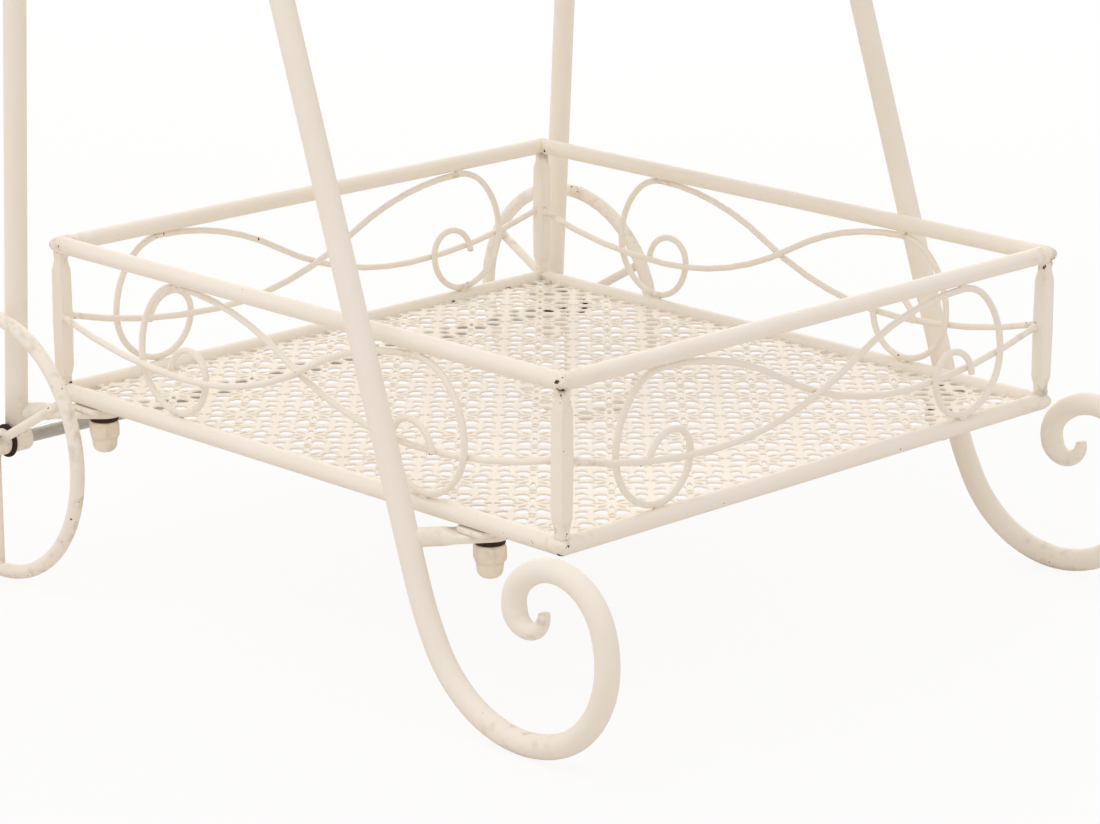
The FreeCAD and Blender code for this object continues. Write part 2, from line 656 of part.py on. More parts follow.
def floor_sheet(tray):
    """Sheet floor inside the base rails, at the height of their centres, opened in a plain grid.

    The openings are as many as fit, in even numbers, so that a bar of sheet runs through the middle
    both ways.
    """
    label = f"{tray.name}_floor"
    body = doc.addObject("PartDesign::Body", label)
    along = f"({tray.length_rule} - Sizes.rail_bar)"
    across = "(Sizes.tray_width - Sizes.rail_bar)"
    plan = rectangle(body, f"{label}_plan", "XY_Plane", along, across)
    pad(body, f"{label}_pad", plan, "Sizes.floor_sheet", midplane=True)
    columns = f"2 * floor({along} / (2 * Sizes.opening_pitch))"
    rows = f"2 * floor({across} / (2 * Sizes.opening_pitch))"
    width = "Sizes.opening_pitch - Sizes.floor_bar"
    opening = rectangle(body, f"{label}_opening", "XY_Plane", width, width)
    opening.setExpression("AttachmentOffset.Base.x", f"(1 - {columns}) / 2 * Sizes.opening_pitch")
    opening.setExpression("AttachmentOffset.Base.y", f"(1 - {rows}) / 2 * Sizes.opening_pitch")
    pocket = body.newObject("PartDesign::Pocket", f"{label}_pocket")
    pocket.Profile = opening
    pocket.Midplane = True
    pocket.setExpression("Length", "2 * Sizes.floor_sheet")
    doc.recompute()
    grid = body.newObject("PartDesign::LinearPattern", f"{label}_grid")
    grid.Originals = [pocket]
    grid.Direction = (origin_plane(body, "X_Axis"), [""])
    grid.Direction2 = (origin_plane(body, "Y_Axis"), [""])
    bind(grid, Occurrences=columns, Length=f"({columns} - 1) * Sizes.opening_pitch")
    bind(grid, Occurrences2=rows, Length2=f"({rows} - 1) * Sizes.opening_pitch")
    body.Tip = grid
    body.Placement = at(tray.middle, 0, tray.bottom + rail_radius)
    return part(label, body)


def scroll_wire(half, weld_share):
    """One scroll wire of a side, in the XZ plane with the tray's bottom at z = 0.

    It starts on the post at -X, dips, climbs across the middle of the side, touches the top rail and
    turns in a loop that touches the base rail and ends in a small curl. On a short side the loop keeps
    clear of the post at +X.
    """
    half_wire = size["wire"] / 2
    top = size["rail_height"] - rail_radius - half_wire
    low = size["rail_bar"] + half_wire
    post_x = half - size["post_middle"] / 2
    start_x = -post_x
    eighth = math.cos(math.radians(45))
    loop_width = size["loop_top"] * eighth + size["loop_side"] * (1 - eighth)
    weld_x = min(weld_share * half, post_x - size["loop_clearance"] - half_wire - loop_width)
    run = weld_x - start_x
    dip_run = run * size["dip_share"]
    dip = size["wire_start"] - size["wire_dip"]
    dip_turn = 2 * math.atan(dip / dip_run)
    climb_run = run - dip_run
    climb_turn = 2 * math.atan((top - size["wire_dip"]) / climb_run)
    loop_drop = size["loop_top"] * (1 - eighth) + size["loop_side"] * eighth
    bends = [
        (dip_run / math.sin(dip_turn), 0.0),
        (climb_run * size["turn_share"] / math.sin(climb_turn), math.degrees(climb_turn)),
        (climb_run * (1 - size["turn_share"]) / math.sin(climb_turn), 0.0),
        (size["loop_top"], -45.0),
        (size["loop_side"], -90.0),
        (top - low - loop_drop, -180.0),
        (size["loop_back"], -270.0),
        (size["loop_turn"], -360.0),
        (size["loop_tip"], size["loop_angle"]),
    ]
    stations = walk(start_x, size["wire_start"], -math.degrees(dip_turn), bends, size["wire_chord"])
    corner_radius = half_wire / math.cos(math.pi / WIRE_SIDES)
    sections = [section(station, corner_radius, WIRE_SIDES, 0.5) for station in stations]
    sections[0] = section((start_x, size["wire_start"], 0.0), corner_radius, WIRE_SIDES, 0.5)
    return solid_of(sections)


def scrolls(label, tray, half, weld_share, x, y, angle):
    """The two wires of a side: the second is the first one turned half round, so they cross and touch."""
    wire = scroll_wire(half, weld_share)
    wire.translate(FreeCAD.Vector(0, -size["wire"] / 2, 0))
    other = wire.copy()
    other.rotate(FreeCAD.Vector(0, 0, 0), FreeCAD.Vector(0, 0, 1), 180)
    return part(label, computed(label, Part.makeCompound([wire, other]), at(x, y, tray.bottom, (0, 0, 1), angle)))


for tray in trays:
    name = tray.name
    half_length = tray.length / 2
    half_width = size["tray_width"] / 2
    rail_ring(f"{name}_base_rail", tray, tray.bottom + rail_radius)
    rail_ring(f"{name}_top_rail", tray, tray.bottom + size["rail_height"])
    floor_sheet(tray)
    corners = [(x, y) for x in (tray.front, tray.rear) for y in (half_width, -half_width)]
    post_z = tray.bottom + size["rail_bar"]
    copies(f"{name}_posts", post, [at(x, y, post_z) for x, y in corners])
    side_share = size["side_weld_share"]
    end_share = size["end_weld_share"]
    scrolls(f"{name}_scrolls_left", tray, half_length, side_share, tray.middle, half_width, 0)
    scrolls(f"{name}_scrolls_right", tray, half_length, side_share, tray.middle, -half_width, 0)
    scrolls(f"{name}_scrolls_front", tray, half_width, end_share, tray.front, 0, 90)
    scrolls(f"{name}_scrolls_back", tray, half_width, end_share, tray.rear, 0, 90)
    stud_z = tray.bottom - size["tab_plate"]
    washer_z = stud_z - size["lug_plate"]
    tab_places = []
    for place in stud_places(tray, tray.bottom):
        tab_y = half_width + rail_radius - size["tab_reach"] / 2
        tab_places.append(at(place.Base.x, math.copysign(tab_y, place.Base.y), tray.bottom))
    copies(f"{name}_tabs", tab, tab_places)
    copies(f"{name}_studs", stud, stud_places(tray, stud_z))
    copies(f"{name}_washers", washer, stud_places(tray, washer_z))
    copies(f"{name}_cap_nuts", cap_nut, stud_places(tray, washer_z - size["washer_plate"]))


# ---- axle and wheels --------------------------------------------------------------------------------

def tube(label, radius, bore, length):
    """A tube along Z from z = 0, with a bore that a round bar fits."""
    wall = primitive("Part::Prism", f"{label}_wall", Circumradius=radius, Height=length)
    wall.Polygon = LEG_SIDES
    hole = primitive("Part::Prism", f"{label}_bore", Circumradius=round_bore(bore, LEG_SIDES), Height=length)
    hole.Polygon = LEG_SIDES
    cut = doc.addObject("Part::Cut", label)
    cut.Base = wall
    cut.Tool = hole
    return cut


def outward(y, sign):
    """A placement on the axle whose Z axis points out of the cart, at a distance from the middle."""
    return at(axle_x, sign * y, axle_z, (1, 0, 0), -90 * sign)


def inward(y, sign):
    """The same place, with the Z axis pointing to the cart's middle."""
    return at(axle_x, sign * y, axle_z, (1, 0, 0), 90 * sign)


def rim(label):
    """Wheel rim round the Y axis: a bar bent to a ring and welded, with a section straight below the hub."""
    bar_radius = size["rim_bar"] / 2
    bend = size["wheel_radius"] - bar_radius
    stations = walk(0.0, -bend, 0.0, [(bend, 360.0)], size["rim_chord"])
    sections = [section(station, bar_radius, SMALL_SIDES, 0) for station in stations]
    sections[-1] = sections[0]
    return part(label, computed(label, solid_of(sections, ring_shaped=True)))


def spokes(label):
    """Spokes between hub and rim, one of them straight down."""
    body = doc.addObject("PartDesign::Body", label)
    foot = polygon(body, f"{label}_section", "XZ_Plane", SMALL_SIDES, "Sizes.spoke / 2", "Sizes.hub / 2")
    length = "Sizes.wheel_radius - Sizes.rim_bar - Sizes.hub / 2 - Sizes.weld_gap"
    spoke = pad(body, f"{label}_pad", foot, length)
    doc.recompute()
    pattern = body.newObject("PartDesign::PolarPattern", f"{label}_pattern")
    pattern.Originals = [spoke]
    pattern.Axis = (origin_plane(body, "Z_Axis"), [""])
    pattern.Angle = 360
    pattern.Occurrences = SPOKES
    body.Tip = pattern
    return part(label, body)


bush_in = side_y - size["bush_length"] / 2
bush_out = side_y + size["bush_length"] / 2
hub_in = bush_out + size["axle_washer_plate"] + size["side_play"]
outer_washer = hub_in + size["hub_length"] + size["side_play"]
nut_seat = outer_washer + size["axle_washer_plate"]

for side, sign in (("left", 1), ("right", -1)):
    hub_bore = "Sizes.axle / 2 + Sizes.wheel_clearance"
    hub = part(f"{side}_hub", tube(f"{side}_hub", "Sizes.hub / 2", hub_bore, "Sizes.hub_length"))
    hub.Placement = outward(hub_in, sign)
    wheel_middle = hub_in + size["hub_length"] / 2
    rim(f"{side}_rim").Placement = at(axle_x, sign * wheel_middle, axle_z)
    spokes(f"{side}_spokes").Placement = at(axle_x, sign * wheel_middle, axle_z, (1, 0, 0), 90)

bush = tube("bush", "Sizes.hub / 2", "Sizes.axle / 2 + Sizes.bush_clearance", "Sizes.bush_length")
copies("axle_bushes", bush, [outward(bush_in, sign) for sign in (1, -1)])
plate_bore = "Sizes.axle / 2 + Sizes.stud_clearance"
plate = washer_master("axle_plate", "Sizes.axle_washer", plate_bore, "Sizes.axle_washer_plate")
copies("inner_axle_washers", plate, [inward(bush_out, sign) for sign in (1, -1)])
copies("outer_axle_washers", plate, [inward(outer_washer, sign) for sign in (1, -1)])
copies("axle_cap_nuts", cap_nut, [inward(nut_seat, sign) for sign in (1, -1)])

half_axle = (f"{side_rule} + Sizes.bush_length / 2 + Sizes.hub_length + 2 * Sizes.side_play"
             " + 2 * Sizes.axle_washer_plate + Sizes.thread_reach")
rod = primitive("Part::Cylinder", "axle_rod", Radius="Sizes.axle / 2", Height=f"2 * ({half_axle})")
rod.Placement = at(axle_x, -(nut_seat + size["thread_reach"]), axle_z, (1, 0, 0), -90)
part("axle_rod", rod)


# ---- handle -----------------------------------------------------------------------------------------

def handle_screw_master():
    """Handle screw along Z: its head above z = 0, its shank below."""
    body = doc.addObject("PartDesign::Body", "handle_screw")
    head = polygon(body, "screw_head", "XY_Plane", SMALL_SIDES, "Sizes.handle_screw")
    pad(body, "screw_head_pad", head, "Sizes.handle_screw / 2")
    shank = polygon(body, "screw_shank", "XY_Plane", SMALL_SIDES, "Sizes.handle_screw / 2")
    length = "Sizes.leg_bar + Sizes.handle_screw_depth"
    pad(body, "screw_shank_pad", shank, length, downward=True)
    return body


def handle_shape():
    """Straight bar between the crooks, with a threaded hole in each end."""
    length = f"2 * {side_rule} - Sizes.leg_bar"
    bar = primitive("Part::Cylinder", "handle_blank", Radius="Sizes.handle_bar / 2", Height=length)
    depth = "Sizes.handle_screw_depth + Sizes.stud_clearance"
    radius = round_bore("Sizes.handle_screw / 2 + Sizes.thread_clearance")
    near = primitive("Part::Prism", "handle_hole_near", Circumradius=radius, Height=depth)
    far = primitive("Part::Prism", "handle_hole_far", Circumradius=radius, Height=depth)
    far.setExpression("Placement.Base.z", f"{length} - ({depth})")
    near.Polygon = SMALL_SIDES
    far.Polygon = SMALL_SIDES
    holes = doc.addObject("Part::Compound", "handle_holes")
    holes.Links = [near, far]
    cut = doc.addObject("Part::Cut", "handle_bar")
    cut.Base = bar
    cut.Tool = holes
    return cut


handle = part("handle_bar", handle_shape())
handle.Placement = at(handle_x, leg_radius - side_y, handle_z, (1, 0, 0), -90)
screw = handle_screw_master()
screw_seat = side_y + leg_radius
screw_places = [at(handle_x, sign * screw_seat, handle_z, (1, 0, 0), -90 * sign) for sign in (1, -1)]
copies("handle_screws", screw, screw_places)


# ---- check and write --------------------------------------------------------------------------------

doc.recompute()
for obj in doc.Objects:
    if "Invalid" in obj.State or "Error" in obj.State:
        raise RuntimeError(f"{obj.Label} failed: {obj.State}")
os.makedirs("parts", exist_ok=True)
for obj in parts:
    if obj.Shape.isNull() or not obj.Shape.isValid() or not obj.Shape.Solids:
        raise RuntimeError(f"{obj.Label} has no valid shape")
for obj in parts:
    obj.Shape.exportStep(f"parts/{obj.Label}.step")
print(len(parts), "parts; top of the crooks at", round(max(obj.Shape.BoundBox.ZMax for obj in parts), 1))
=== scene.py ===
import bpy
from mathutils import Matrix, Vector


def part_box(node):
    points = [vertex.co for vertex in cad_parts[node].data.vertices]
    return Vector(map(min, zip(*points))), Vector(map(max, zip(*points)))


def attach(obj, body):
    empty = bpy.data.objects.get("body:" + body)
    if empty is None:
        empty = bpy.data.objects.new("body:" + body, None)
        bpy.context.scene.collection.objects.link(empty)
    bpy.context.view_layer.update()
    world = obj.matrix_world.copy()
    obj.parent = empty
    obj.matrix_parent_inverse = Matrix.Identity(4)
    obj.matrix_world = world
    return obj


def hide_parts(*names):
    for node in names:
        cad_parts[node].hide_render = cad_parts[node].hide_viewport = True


bl_info = {
    "name": "Flower cart stand",
    "version": (1, 0, 0),
    "blender": (4, 5, 0),
    "location": "3D View > Sidebar > Flower Cart",
    "description": "Builds the painted looks of a flower cart stand round its fixed frame",
    "category": "Object",
}

import math

import bmesh
import bpy
import numpy as np
from mathutils import Matrix, Vector
from mathutils.geometry import delaunay_2d_cdt

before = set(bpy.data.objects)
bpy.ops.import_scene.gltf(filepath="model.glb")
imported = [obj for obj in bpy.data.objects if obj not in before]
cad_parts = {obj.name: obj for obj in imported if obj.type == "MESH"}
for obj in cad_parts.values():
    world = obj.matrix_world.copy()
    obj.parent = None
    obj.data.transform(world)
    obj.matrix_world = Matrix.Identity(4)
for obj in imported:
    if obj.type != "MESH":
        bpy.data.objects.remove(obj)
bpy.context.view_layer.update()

TRAYS = ("lower", "middle", "upper")
SIDES = (("left", 1), ("right", -1))
MM = 0.001

# Fixed sizes in metres, of hardware and small edges that a user wouldn't change.
STUD = 0.004  # radius of the studs in the frame
THREAD, THREAD_PITCH, THREAD_DEPTH = 0.00395, 0.00125, 0.0005
TAB_LONG, TAB_WIDE, TAB_CORNER = 0.020, 0.027, 0.0035
WASHER_BORE, WASHER_OUTER = 0.0044, 0.0076
AXLE_WASHER, AXLE_WASHER_PLATE = 0.0089, 0.0015
BUSH_HALF = 0.006
HUB_REACH = 0.0063  # half a hub and its play
SCREW_SHANK, SCREW_LENGTH = 0.0029, 0.023
SOFT_EDGE = 0.0006  # the small round edge of a cut bar or plate
ROD_SIDES = 25  # rows along a rod
INSIDE = 1e-5  # how far a rod's side stays inside the frame's
PHASE = (0.0220, 0.0215)  # from a floor's middle to a rosette's


# ---- settings -----------------------------------------------------------------------------------

def length(name, meaning, millimetres):
    """A size setting, given here in millimetres."""
    return bpy.props.FloatProperty(
        name=name, description=meaning, default=millimetres * MM, unit="LENGTH", precision=4)


def turn(name, meaning, degrees):
    """An angle setting, given here in degrees."""
    return bpy.props.FloatProperty(
        name=name, description=meaning, default=math.radians(degrees), unit="ROTATION")


def lengths(name, meaning, *millimetres):
    """A row of sizes, given here in millimetres."""
    values = [value * MM for value in millimetres]
    return bpy.props.FloatVectorProperty(
        name=name, description=meaning, default=values, size=len(values), unit="LENGTH",
        precision=4)


def turns(name, meaning, *degrees):
    """A row of angles, given here in degrees."""
    values = [math.radians(value) for value in degrees]
    return bpy.props.FloatVectorProperty(
        name=name, description=meaning, default=values, size=len(values), unit="ROTATION")


def share(name, meaning, value):
    """A setting without a unit."""
    return bpy.props.FloatProperty(name=name, description=meaning, default=value)


def colour(name, meaning, *value):
    """A colour setting."""
    return bpy.props.FloatVectorProperty(
        name=name, description=meaning, default=(*value, 1.0), size=4, subtype="COLOR",
        min=0.0, max=1.0)


class FLOWERCART_PG_sizes(bpy.types.PropertyGroup):
    """Sizes of the cart's visible pieces."""

    leg_bar: length("Leg bar", "Diameter of the leg bars", 12)
    leg_spread: length("Leg spread", "From leg centre to leg centre at axle height", 311)
    scroll_lean: turn("Scroll leg lean", "Lean of the scroll legs", 18.8)
    wheel_lean: turn("Wheel leg lean", "Lean of the wheel legs", 3)
    foot_radii: lengths(
        "Foot bends", "Radii of the foot's bends, from the leg down", 167, 67, 50, 32, 15.5, 9.8)
    foot_turns: turns(
        "Foot headings", "Heading at the end of each bend", -60, 20.5, 110.5, 228.5, 289.5, 457.5)
    tip_bar: length("Tip", "Diameter of the drawn-out tip", 5.5)
    crook_rise: length("Crook rise", "From the joint of the legs up to the crook", 18)
    crook_radii: lengths("Crook bends", "Radii of the crook's bends", 36, 16)
    crook_turns: turns("Crook headings", "Heading at the end of each bend", 215, 350)
    rail_bar: length("Rail", "Diameter of the tray rails", 9)
    post_widths: lengths(
        "Post widths", "Width at the ends, the shoulders and the middle", 3.8, 7.6, 8.1)
    post_taper: length("Post taper", "Length of a post's tapered ends", 9)
    wire: length("Wire", "Diameter of the scroll wires", 3.5)
    wire_start: length("Wire start", "Height on the post where a wire starts", 45.4)
    wire_dip: length("Wire dip", "Lowest height of a wire beside the post", 31.2)
    dip_share: share("Dip share", "Share of a wire's run down to the dip", 0.355)
    turn_share: share("Turn share", "Share of the climb before its bend reverses", 0.55)
    weld_shares: bpy.props.FloatVectorProperty(
        name="Weld shares", description="Place of a loop's weld on the long sides and on the ends",
        default=(0.487, 0.61), size=2)
    loop_radii: lengths(
        "Loop bends", "Radii of a loop: top, side, back, inner turn, tip",
        27.5, 42.7, 22.3, 12.6, 16)
    loop_end: turn("Loop end", "Heading of a loop's tip", -445)
    lug_stub: length("Lug stub", "Diameter of a lug where it leaves the leg", 9.5)
    lug_stub_length: length("Lug stub length", "Length of the round part of a lug", 9)
    lug_forge: length("Lug forge", "Length over which a lug is forged flat", 8)
    lug_plate: length("Lug plate", "Thickness of a lug's flat end", 4)
    lug_width: length("Lug width", "Width of a lug's flat end", 18)
    nut_corners: length("Nut", "Width of a domed nut across its corners", 17)
    nut_hexagon: length("Nut hexagon", "Height of a domed nut's hexagon", 8.6)
    nut_dome: length("Nut dome", "Height of a domed nut's dome", 8.9)
    axle_nut: share("Axle nut", "Height of an axle nut against that of a tray nut", 0.914)
    rim_bar: length("Rim bar", "Diameter of the rim bar", 8)
    spoke: length("Spoke", "Diameter of the spokes", 5)
    hub: length("Hub", "Diameter of the hubs and bushes", 14)
    axle: length("Axle", "Diameter of the axle rod", 8)
    screw_head: length("Screw head", "Diameter of the handle screws' heads", 11.6)
    rosette: length("Rosette", "Pitch of the floors' rosettes, along their slanting rows", 38.2)
    petal_ring: length("Petal ring", "Radius of a rosette's ring of petals", 13)
    petal: lengths("Petal", "Length and width of a punched petal", 8.6, 7.0)
    rolled_edge: length("Rolled edge", "How far a punched hole's edge is pressed down", 0.4)
    floor_sheet: length("Floor sheet", "Thickness of a floor's sheet inside its hem", 0.6)
    bead: length("Weld bead", "Radius of the weld beads", 2.1)


class FLOWERCART_PG_looks(bpy.types.PropertyGroup):
    """Colours and wear of the finishes."""

    cream: colour("Cream", "The paint's own colour", 0.92, 0.86, 0.775)
    cream_warm: colour("Warm cream", "The paint where it has yellowed", 0.90, 0.815, 0.69)
    nut_cream: colour("Nut cream", "The paint of the domed nuts", 0.92, 0.82, 0.68)
    chip: colour("Chip", "Dark metal where the paint has chipped", 0.055, 0.05, 0.045)
    # Colour of the fine dark streaks at welds, joints and corners: partly soiling round the welds,
    # partly painted shade in corners and in the gaps between parts.
    grime_and_shade: colour("Grime and shade", "The thin dark line in corners and round welds", 0.36, 0.29, 0.20)
    rubber: colour("Rubber", "The washers", 0.028, 0.015, 0.008)
    zinc: colour("Zinc", "The axle rod", 0.55, 0.55, 0.54)
    gloss: share("Roughness", "Roughness of the paint", 0.6)
    chips: share("Chips", "How much of the worn places is chipped", 0.62)


class FLOWERCART_PG_stage(bpy.types.PropertyGroup):
    """Camera, light and floor."""

    camera_place: bpy.props.FloatVectorProperty(
        name="Camera", description="Place of the camera", default=(1.4250, -1.3927, 0.6588), size=3,
        unit="LENGTH")
    azimuth: turn("Azimuth", "Direction of the camera round the cart", 45.37)
    elevation: turn("Elevation", "Height of the camera's view", 16.3)
    roll: turn("Roll", "Roll of the camera", 0.10)
    lens: share("Lens", "Focal length in millimetres", 127.7)
    shift_y: share("Shift", "Vertical shift of the picture", 0.0164)
    sky: share("Sky", "Strength of the even light", 0.80)
    key: share("Key", "Power of the lamp above in watts", 23)
    back: share("Back", "Power of the low lamp behind in watts", 22)
    glow: share("Glow", "How much the floor is seen as plain white, its shadows included", 0.9)
    floor: colour("Floor", "The floor's colour", 0.80, 0.755, 0.72)


def sizes():
    return bpy.context.scene.flowercart_sizes


def looks():
    return bpy.context.scene.flowercart_looks


# ---- shapes as whole arrays ---------------------------------------------------------------------

class Shape:
    """Points, faces and wear of one piece, kept as whole arrays until they become a mesh."""

    def __init__(self):
        self.points = []
        self.corners = []
        self.sizes = []
        self.smooth = []
        self.wear = []
        self.count = 0

    def add(self, points, faces, smooth, wear):
        """Add points and a list of face arrays, each of one number of corners."""
        self.points.append(points)
        self.wear.append(wear)
        for block in faces:
            self.corners.append((block + self.count).ravel())
            self.sizes.append(np.full(len(block), block.shape[1]))
            self.smooth.append(np.full(len(block), smooth and block.shape[1] <= 4))
        self.count += len(points)
        return self

    def moved(self, matrix):
        """The same shape somewhere else."""
        turned = np.array(matrix.to_3x3())
        shift = np.array(matrix.to_translation())
        other = Shape().take(self)
        other.points = [block @ turned.T + shift for block in self.points]
        return other

    def take(self, other):
        """Add all of another shape."""
        self.points += other.points
        self.corners += [block + self.count for block in other.corners]
        self.sizes += other.sizes
        self.smooth += other.smooth
        self.wear += other.wear
        self.count += other.count
        return self


def skin(grid, closed=False, wear=0.0):
    """Skin a grid of points whose rows run round the piece; closed joins the last row to the first.

    An open grid gets a flat face over its first and its last row. The faces are turned outwards by
    the sign of the volume that they close. Wear is one value, or one for each row, or one for each
    point.
    """
    rows, around = grid.shape[:2]
    number = np.arange(rows * around).reshape(rows, around)
    near = number if closed else number[:-1]
    far = np.roll(number, -1, axis=0) if closed else number[1:]
    quads = np.stack([near, np.roll(near, -1, 1), np.roll(far, -1, 1), far], -1).reshape(-1, 4)
    faces = [quads]
    if not closed:
        faces.append(np.stack([number[0][::-1], number[-1]]))
    points = grid.reshape(-1, 3)
    middle = points.mean(axis=0)
    a, b, c, d = (points[quads[:, k]] - middle for k in range(4))
    volume = np.einsum("ij,ij->", a, np.cross(b, c)) + np.einsum("ij,ij->", a, np.cross(c, d))
    if volume < 0:
        faces = [block[:, ::-1] for block in faces]
    wear = np.asarray(wear, float)
    if wear.ndim == 1:
        wear = wear[:, None]
    return Shape().add(points, faces, True, np.broadcast_to(wear, (rows, around)).ravel())


def round_angles(sides):
    """Angles spread evenly round a full turn."""
    return np.linspace(0, 2 * math.pi, sides, endpoint=False)


def grid_of(x, y, z):
    """A grid of points, from their places spread to one size."""
    return np.stack(np.broadcast_arrays(x, y, z), -1)


def squared(wave, power):
    """A cosine or sine drawn out towards a square: its sign times its size to a power."""
    return np.sign(wave) * np.abs(wave) ** power


def fading(distance, reach):
    """A value that falls evenly from 1 at no distance to 0 at the reach."""
    return np.clip(1 - distance / reach, 0, 1)


def place(x, y, z, axis="Z", angle=0.0):
    """A matrix that turns about an axis and then moves to a point."""
    return Matrix.Translation((x, y, z)) @ Matrix.Rotation(angle, 4, axis)


def piece(name, shape, *nodes, finish="cream_paint", body="frame"):
    """Turn a shape into an object that rides on a body and stands for the CAD nodes."""
    points = np.concatenate(shape.points)
    corners = np.concatenate(shape.corners)
    counts = np.concatenate(shape.sizes)
    mesh = bpy.data.meshes.new(name)
    mesh.vertices.add(len(points))
    mesh.vertices.foreach_set("co", points.astype(np.float32).ravel())
    mesh.loops.add(len(corners))
    mesh.loops.foreach_set("vertex_index", corners.astype(np.int32))
    mesh.polygons.add(len(counts))
    starts = np.concatenate([[0], np.cumsum(counts)[:-1]])
    mesh.polygons.foreach_set("loop_start", starts.astype(np.int32))
    mesh.polygons.foreach_set("use_smooth", np.concatenate(shape.smooth))
    mesh.update(calc_edges=True)
    if mesh.validate():
        raise RuntimeError(f"{name} has faults in its mesh")
    # The wear also sets where fine dark streaks fall at welds, joints and corners, partly soiling
    # and partly painted shade.
    wear = mesh.attributes.new("wear", "FLOAT", "POINT")
    wear.data.foreach_set("value", np.concatenate(shape.wear).astype(np.float32))
    obj = bpy.data.objects.new(name, mesh)
    bpy.context.scene.collection.objects.link(obj)
    mesh.materials.append(finish_of(finish))
    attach(obj, body)
    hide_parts(*nodes)
    return obj


def walk(x, z, heading, bends, step=4.0):
    """Centre-line of a bar that bends in one plane, as points and headings.

    Each bend is (radius, heading at its end): the point at a heading is the bend's centre plus its
    radius square to the heading, so that the line has no kink where two bends meet.
    """
    xs, zs, headings = [np.array([x])], [np.array([z])], [np.array([heading])]
    for radius, end in bends:
        side = 1 if end > heading else -1
        centre_x = x - side * radius * math.sin(heading)
        centre_z = z + side * radius * math.cos(heading)
        count = max(2, math.ceil(abs(math.degrees(end - heading)) / step))
        turned = np.linspace(heading, end, count + 1)[1:]
        xs.append(centre_x + side * radius * np.sin(turned))
        zs.append(centre_z - side * radius * np.cos(turned))
        headings.append(turned)
        x, z, heading = xs[-1][-1], zs[-1][-1], end
    return np.concatenate(xs), np.concatenate(zs), np.concatenate(headings)


def bar_grid(x, z, heading, radius, sides, bevel=0.0):
    """Grid of a round bar round a centre-line in the XZ plane.

    A point is the centre-line plus radius times the cosine of its angle square to the heading in
    the plane, and the sine along Y. A bevel turns the last row into three that step in by its size.
    """
    radius = np.broadcast_to(np.asarray(radius, float), x.shape)
    if bevel:
        steps = np.array([-1.0, -0.3, 0.0]) * bevel
        x = np.append(x[:-1], x[-1] + np.cos(heading[-1]) * steps)
        z = np.append(z[:-1], z[-1] + np.sin(heading[-1]) * steps)
        radius = np.append(radius[:-1], radius[-1] - np.array([0.0, 0.3, 1.0]) * bevel)
        heading = np.append(heading[:-1], np.full(3, heading[-1]))
    angle = round_angles(sides)
    across = radius[:, None] * np.cos(angle)
    heading = heading[:, None]
    return grid_of(x[:, None] - across * np.sin(heading), radius[:, None] * np.sin(angle),
                   z[:, None] + across * np.cos(heading))


def lathe(profile, sides=32):
    """Grid of a profile of (radius, height) turned round Z."""
    radius, height = np.asarray(profile, float).T[..., None]
    angle = round_angles(sides)
    return grid_of(radius * np.cos(angle), radius * np.sin(angle), height)


def rod_profile(radius, half, chamfer):
    """Profile of a rod from -half to half, with a chamfer at each end."""
    along = np.linspace(-half + chamfer, half - chamfer, ROD_SIDES)
    sides = [(radius - INSIDE, y) for y in along]
    return [(radius - chamfer, -half), *sides, (radius - chamfer, half)]


def rounded_ring(inner, outer, low, high, edge):
    """Closed profile of a washer or tube with small round edges."""
    small = edge * 0.3
    return [
        (inner, low + edge), (inner + small, low + small), (inner + edge, low),
        (outer - edge, low), (outer - small, low + small), (outer, low + edge),
        (outer, high - edge), (outer - small, high - small), (outer - edge, high),
        (inner + edge, high), (inner + small, high - small), (inner, high - edge)]


def bead(radius, squash=(1.0, 1.0, 1.0), sides=10, rows=6):
    """A weld bead: a ball with an uneven skin, pressed to the given shape."""
    polar = np.linspace(0.12, math.pi - 0.12, rows)[:, None]
    angle = round_angles(sides)[None, :]
    lumpy = radius * (1 + 0.07 * np.sin(3 * angle + 2 * polar) + 0.05 * np.cos(5 * angle))
    return skin(grid_of(
        lumpy * np.sin(polar) * np.cos(angle) * squash[0],
        lumpy * np.sin(polar) * np.sin(angle) * squash[1],
        lumpy * np.cos(polar) * squash[2]), wear=0.55)


# ---- finishes -----------------------------------------------------------------------------------

def give(tree, made, inputs):
    """Give a node's inputs, by their names or numbers, a value or a link from a socket."""
    for key, value in inputs.items():
        if isinstance(value, bpy.types.NodeSocket):
            tree.links.new(value, made.inputs[key])
        else:
            made.inputs[key].default_value = value


def node(tree, kind, inputs=None, **settings):
    """A shader node with its settings and inputs."""
    made = tree.nodes.new(kind)
    made.location = (200 * len(tree.nodes), 0)
    for key, value in settings.items():
        setattr(made, key, value)
    give(tree, made, inputs or {})
    return made


def reckon(tree, operation, *values):
    """The result of a Math node."""
    return node(tree, "ShaderNodeMath", dict(enumerate(values)), operation=operation).outputs[0]


def noise(tree, where, scale, detail, roughness=0.5):
    """A noise pattern's value."""
    inputs = {"Vector": where, "Scale": scale, "Detail": detail, "Roughness": roughness}
    return node(tree, "ShaderNodeTexNoise", inputs).outputs["Fac"]


def spread(tree, value, start, end, low=0.0, high=1.0):
    """A value spread from the range start to end onto the range low to high."""
    inputs = {"Value": value, "From Min": start, "From Max": end, "To Min": low, "To Max": high}
    return node(tree, "ShaderNodeMapRange", inputs).outputs["Result"]


def mixed(tree, amount, first, second):
    """Two colours mixed by an amount."""
    inputs = {"Factor": amount, 6: first, 7: second}
    return node(tree, "ShaderNodeMix", inputs, data_type="RGBA").outputs[2]


def ramp(tree, value, dark, pale):
    """A colour between two, led by a value."""
    made = node(tree, "ShaderNodeValToRGB", {0: value})
    made.color_ramp.elements[0].color = dark
    made.color_ramp.elements[1].color = pale
    return made.outputs[0]


def relief(tree, height, strength, distance):
    """A normal bumped by a height."""
    inputs = {"Strength": strength, "Distance": distance, "Height": height}
    return node(tree, "ShaderNodeBump", inputs).outputs[0]


